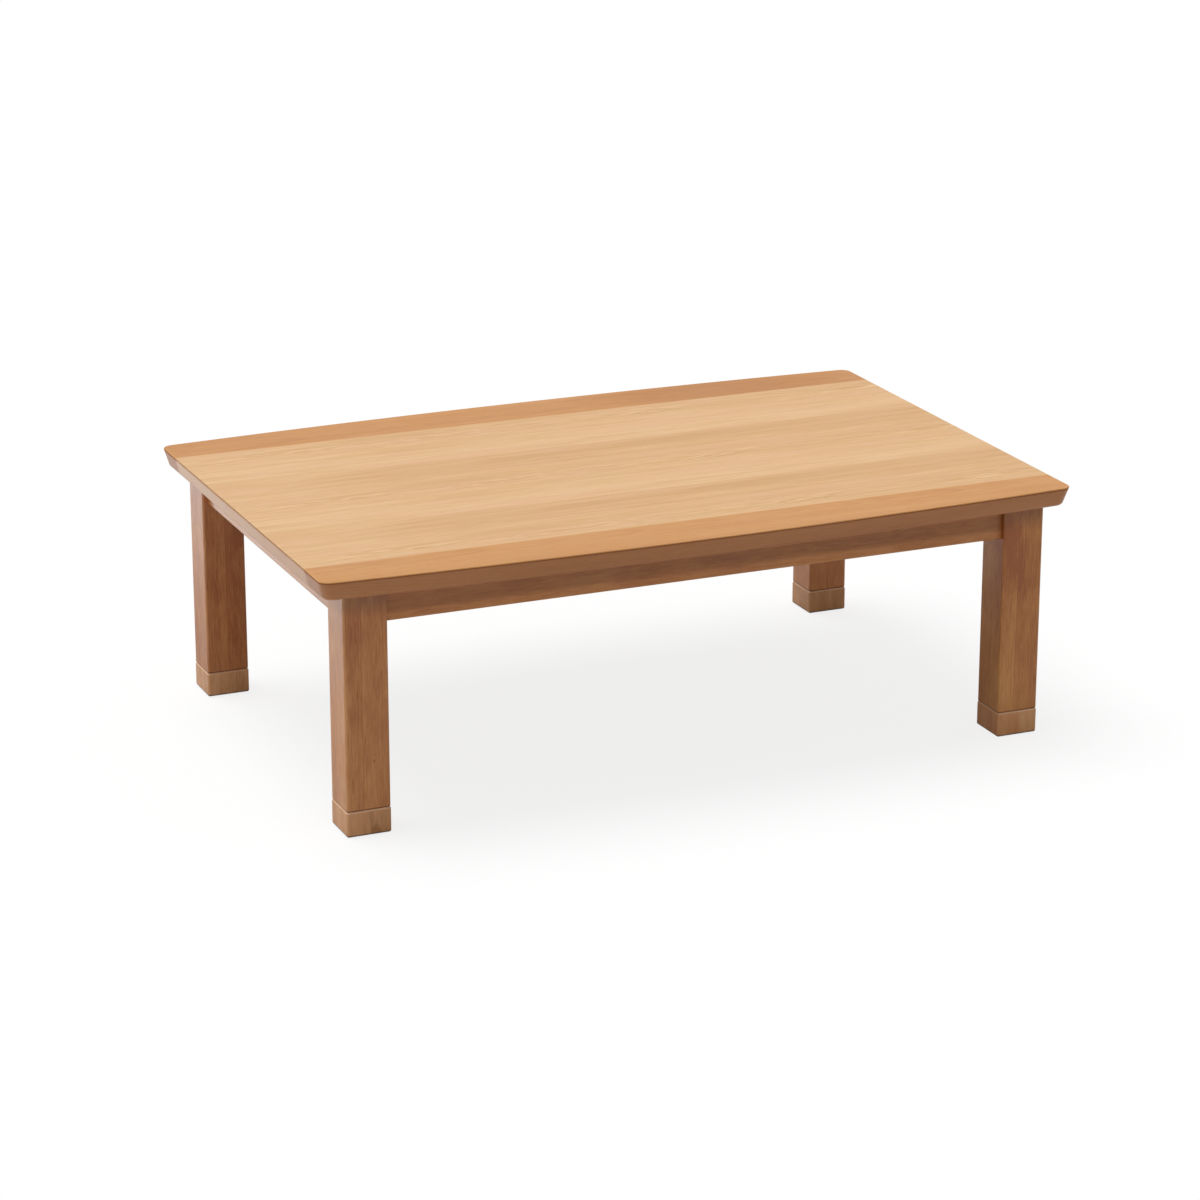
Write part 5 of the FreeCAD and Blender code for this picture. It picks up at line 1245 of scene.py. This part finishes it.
class FitFan(Operator):
    """Motor, shaft and a moulded wheel with swept blades"""

    bl_idname = "heated_table.fit_fan"
    bl_label = "Fit fan"

    def blade(self, root, tip, low, high):
        """Model one upright blade that sweeps back from its root to its tip."""
        sizes = bpy.context.scene.table_hardware
        piece = begin("grid", x_subdivisions=14, y_subdivisions=1, size=1)
        for vertex in piece.data.vertices:
            out = max(0.0, vertex.co.x + 0.5)
            angle = sizes.blade_sweep * out ** 1.4
            radius = root + (tip - root) * out
            height = high if vertex.co.y > 0 else low + (high - low) * 0.22 * out ** 2
            vertex.co = radius * math.cos(angle), radius * math.sin(angle), height
        apply_modifier(piece, "SOLIDIFY", thickness=sizes.blade_thickness, offset=0.0)
        apply_modifier(piece, "BEVEL", width=0.3 * MM, segments=2, limit_method="ANGLE")
        return piece

    def wheel(self):
        """Model the wheel: hub, disc above and blades below, all one moulding."""
        low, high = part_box("fan_wheel")
        radius, height = (high.x - low.x) / 2, high.z - low.z
        sizes = bpy.context.scene.table_hardware
        disc, hub, bore = 1.6 * MM, 9 * MM, 2.05 * MM
        roof, lip = height - disc, height - 0.5 * MM
        body = turned([
            (hub - 1.2 * MM, 0.0), (hub, 1.0 * MM), (hub, roof - 0.8 * MM), (hub + 0.8 * MM, roof),
            (radius - 0.6 * MM, roof), (radius, roof + 0.4 * MM), (radius, lip), (radius - 0.5 * MM, height),
            (hub + 2 * MM, height), (hub + 1.4 * MM, lip), (bore + 1.6 * MM, lip), (bore + 1.2 * MM, height),
            (bore, height), (bore, disc)], FAN_SIDES)
        smooth(body, 30)
        pattern = self.blade(hub - 1 * MM, radius - 1.6 * MM, 0.6 * MM, height - disc / 2)
        angles = (math.tau * number / sizes.blade_count for number in range(sizes.blade_count))
        turns = [Matrix.Rotation(angle, 4, "Z") for angle in angles]
        blades = fit_copies(pattern, turns)
        smooth(blades, 40)
        wheel = joined([body, blades])
        wheel.data.transform(Matrix.Translation((0, 0, low.z)))
        return wheel

    def execute(self, context):
        plastic = moulded("fan_moulding", "plastic", 0.5 * MM, 0.03 * MM, 0.5)
        dress(frame["nodes"]["fan_motor"], plastic)
        steel = bare_metal("ground_shaft", "zinc", "zinc_dull", 0.2, 9.0, brushed=(0.3 * MM,) * 3)
        dress(frame["nodes"]["fan_shaft"], steel)
        stand_for(self.wheel(), "fan_wheel_swept", "fan", plastic, "fan_wheel")
        return {"FINISHED"}


class BuildStage(Operator):
    """Pale floor, white surroundings, one large soft lamp and the camera"""

    bl_idname = "heated_table.build_stage"
    bl_label = "Build stage"

    def seen_directly(self, graph):
        """Tell the rays that show the background from those that light the table."""
        path = graph.add("ShaderNodeLightPath").outputs
        return graph.highest(path["Is Camera Ray"], path["Is Glossy Ray"], path["Is Transmission Ray"])

    def plain(self, graph, kind, socket, value):
        """Add a shader that takes one value."""
        node = graph.add(f"ShaderNode{kind}")
        graph.feed(node.inputs[socket], value)
        return node.outputs[0]

    def blend(self, graph, kind, *values):
        """Mix or add shaders."""
        node = graph.add(f"ShaderNode{kind}Shader")
        for socket, value in zip(node.inputs, values):
            graph.feed(socket, value)
        return node.outputs[0]

    def floor(self, settings):
        """A wide floor that shows nearly white and keeps the table's soft shadow."""
        below_feet, touching_range = -0.2 * MM, 6 * MM
        bpy.ops.object.select_all(action="DESELECT")
        bpy.ops.mesh.primitive_plane_add(size=settings.floor_side, location=(0, 0, below_feet))
        floor = bpy.context.object
        floor.name = "studio_floor"
        material = bpy.data.materials.new("pale_floor")
        material.use_nodes = True
        nodes = material.node_tree.nodes
        nodes.remove(nodes["Principled BSDF"])
        graph = Graph(material.node_tree)
        rays = graph.add("ShaderNodeLightPath").outputs
        lit = self.plain(graph, "BsdfDiffuse", "Color", tone("#f4f4f4"))
        white = self.plain(graph, "Emission", "Strength", 1.03)
        white_share = graph.spread(rays["Is Glossy Ray"], 0.0, 1.0, 0.8, 0.1, smooth=False)
        shown = self.blend(graph, "Mix", white_share, lit, white)
        dim = self.plain(graph, "BsdfDiffuse", "Color", tone("#cbcbcb"))
        either = self.blend(graph, "Mix", self.seen_directly(graph), dim, shown)
        # Left of the table, and behind it, the floor looks brighter in the table's own reflections
        right, back, _ = graph.parts(graph.place())
        beside = graph.spread(right, -0.68, -1.1, 0.0, settings.side_sheen)
        behind = graph.spread(back, 0.4, 1.0, 0.4, 1.0)
        mirrored = graph.times(graph.times(beside, behind), rays["Is Glossy Ray"])
        bright = self.blend(graph, "Add", either, self.plain(graph, "Emission", "Strength", mirrored))
        # The floor is clear from below, and for rays that start close to it
        touching = graph.maths("LESS_THAN", rays["Ray Length"], touching_range)
        backs = graph.add("ShaderNodeNewGeometry").outputs["Backfacing"]
        clear = graph.add("ShaderNodeBsdfTransparent").outputs[0]
        surface = self.blend(graph, "Mix", graph.highest(backs, touching), bright, clear)
        graph.feed(nodes["Material Output"].inputs["Surface"], surface)
        dress(floor, material)

    def surroundings(self, settings):
        """A room that shows white and lights softly."""
        world = bpy.data.worlds.new("white_room")
        world.use_nodes = True
        bpy.context.scene.world = world
        graph = Graph(world.node_tree)
        background = world.node_tree.nodes["Background"]
        graph.feed(background.inputs["Color"], (1.0, 1.0, 1.0, 1.0))
        seen = self.seen_directly(graph)
        strength = graph.spread(seen, 0.0, 1.0, settings.room_light, 1.0, smooth=False)
        graph.feed(background.inputs["Strength"], strength)

    def key_lamp(self, settings):
        """One large soft lamp, far off, that gives a surface facing it the light that the settings name."""
        direction = Vector(settings.key_direction).normalized()
        bpy.ops.object.light_add(type="SUN", location=direction)
        lamp = bpy.context.object
        lamp.name = "soft_key_lamp"
        lamp.rotation_euler = direction.to_track_quat("Z", "Y").to_euler()
        lamp.data.angle = settings.key_spread
        lamp.data.energy = settings.key_light * math.pi

    def execute(self, context):
        settings = context.scene.table_stage
        scene = context.scene
        scene.view_settings.view_transform = "Standard"
        self.floor(settings)
        self.surroundings(settings)
        self.key_lamp(settings)
        bpy.ops.object.camera_add(location=settings.camera_place, rotation=settings.camera_turn)
        camera = bpy.context.object
        camera.name = "front_left_camera"
        camera.data.lens = settings.camera_lens
        scene.camera = camera
        return {"FINISHED"}


class HeatedTablePanel(Panel):
    """Lists the steps and their settings"""

    bl_idname = "VIEW3D_PT_heated_table"
    bl_label = "Heated table"
    bl_space_type = "VIEW_3D"
    bl_region_type = "UI"
    bl_category = "Heated table"

    def draw(self, context):
        for step in STEPS:
            self.layout.operator(step.bl_idname)
        for settings in SETTINGS:
            group = getattr(context.scene, settings)
            for name in group.bl_rna.properties.keys():
                if name not in ("rna_type", "name"):
                    self.layout.prop(group, name, text=name.replace("_", " ").capitalize())


SETTINGS = {
    "table_woods": WoodFinishes, "table_hardware": HardwareSizes, "table_fittings": FittingFinishes,
    "table_stage": StageSettings,
}
STEPS = (FinishTabletop, FinishFrame, FitFastenings, FinishCarrier, FitHeater, FitFan, BuildStage)


def register():
    """Make the settings, the steps and the panel known to Blender."""
    for cls in (*SETTINGS.values(), *STEPS, HeatedTablePanel):
        bpy.utils.register_class(cls)
    for name, group in SETTINGS.items():
        setattr(bpy.types.Scene, name, PointerProperty(type=group))


def unregister():
    """Take everything out of Blender again."""
    for name in SETTINGS:
        delattr(bpy.types.Scene, name)
    for cls in (HeatedTablePanel, *STEPS, *SETTINGS.values()):
        bpy.utils.unregister_class(cls)


def main():
    """Run every step in order."""
    register()
    make_effects()
    bpy.ops.heated_table.finish_tabletop()
    bpy.ops.heated_table.finish_frame()
    bpy.ops.heated_table.fit_fastenings()
    bpy.ops.heated_table.finish_carrier()
    bpy.ops.heated_table.fit_heater()
    bpy.ops.heated_table.fit_fan()
    bpy.ops.heated_table.build_stage()


if __name__ == "__main__":
    main()
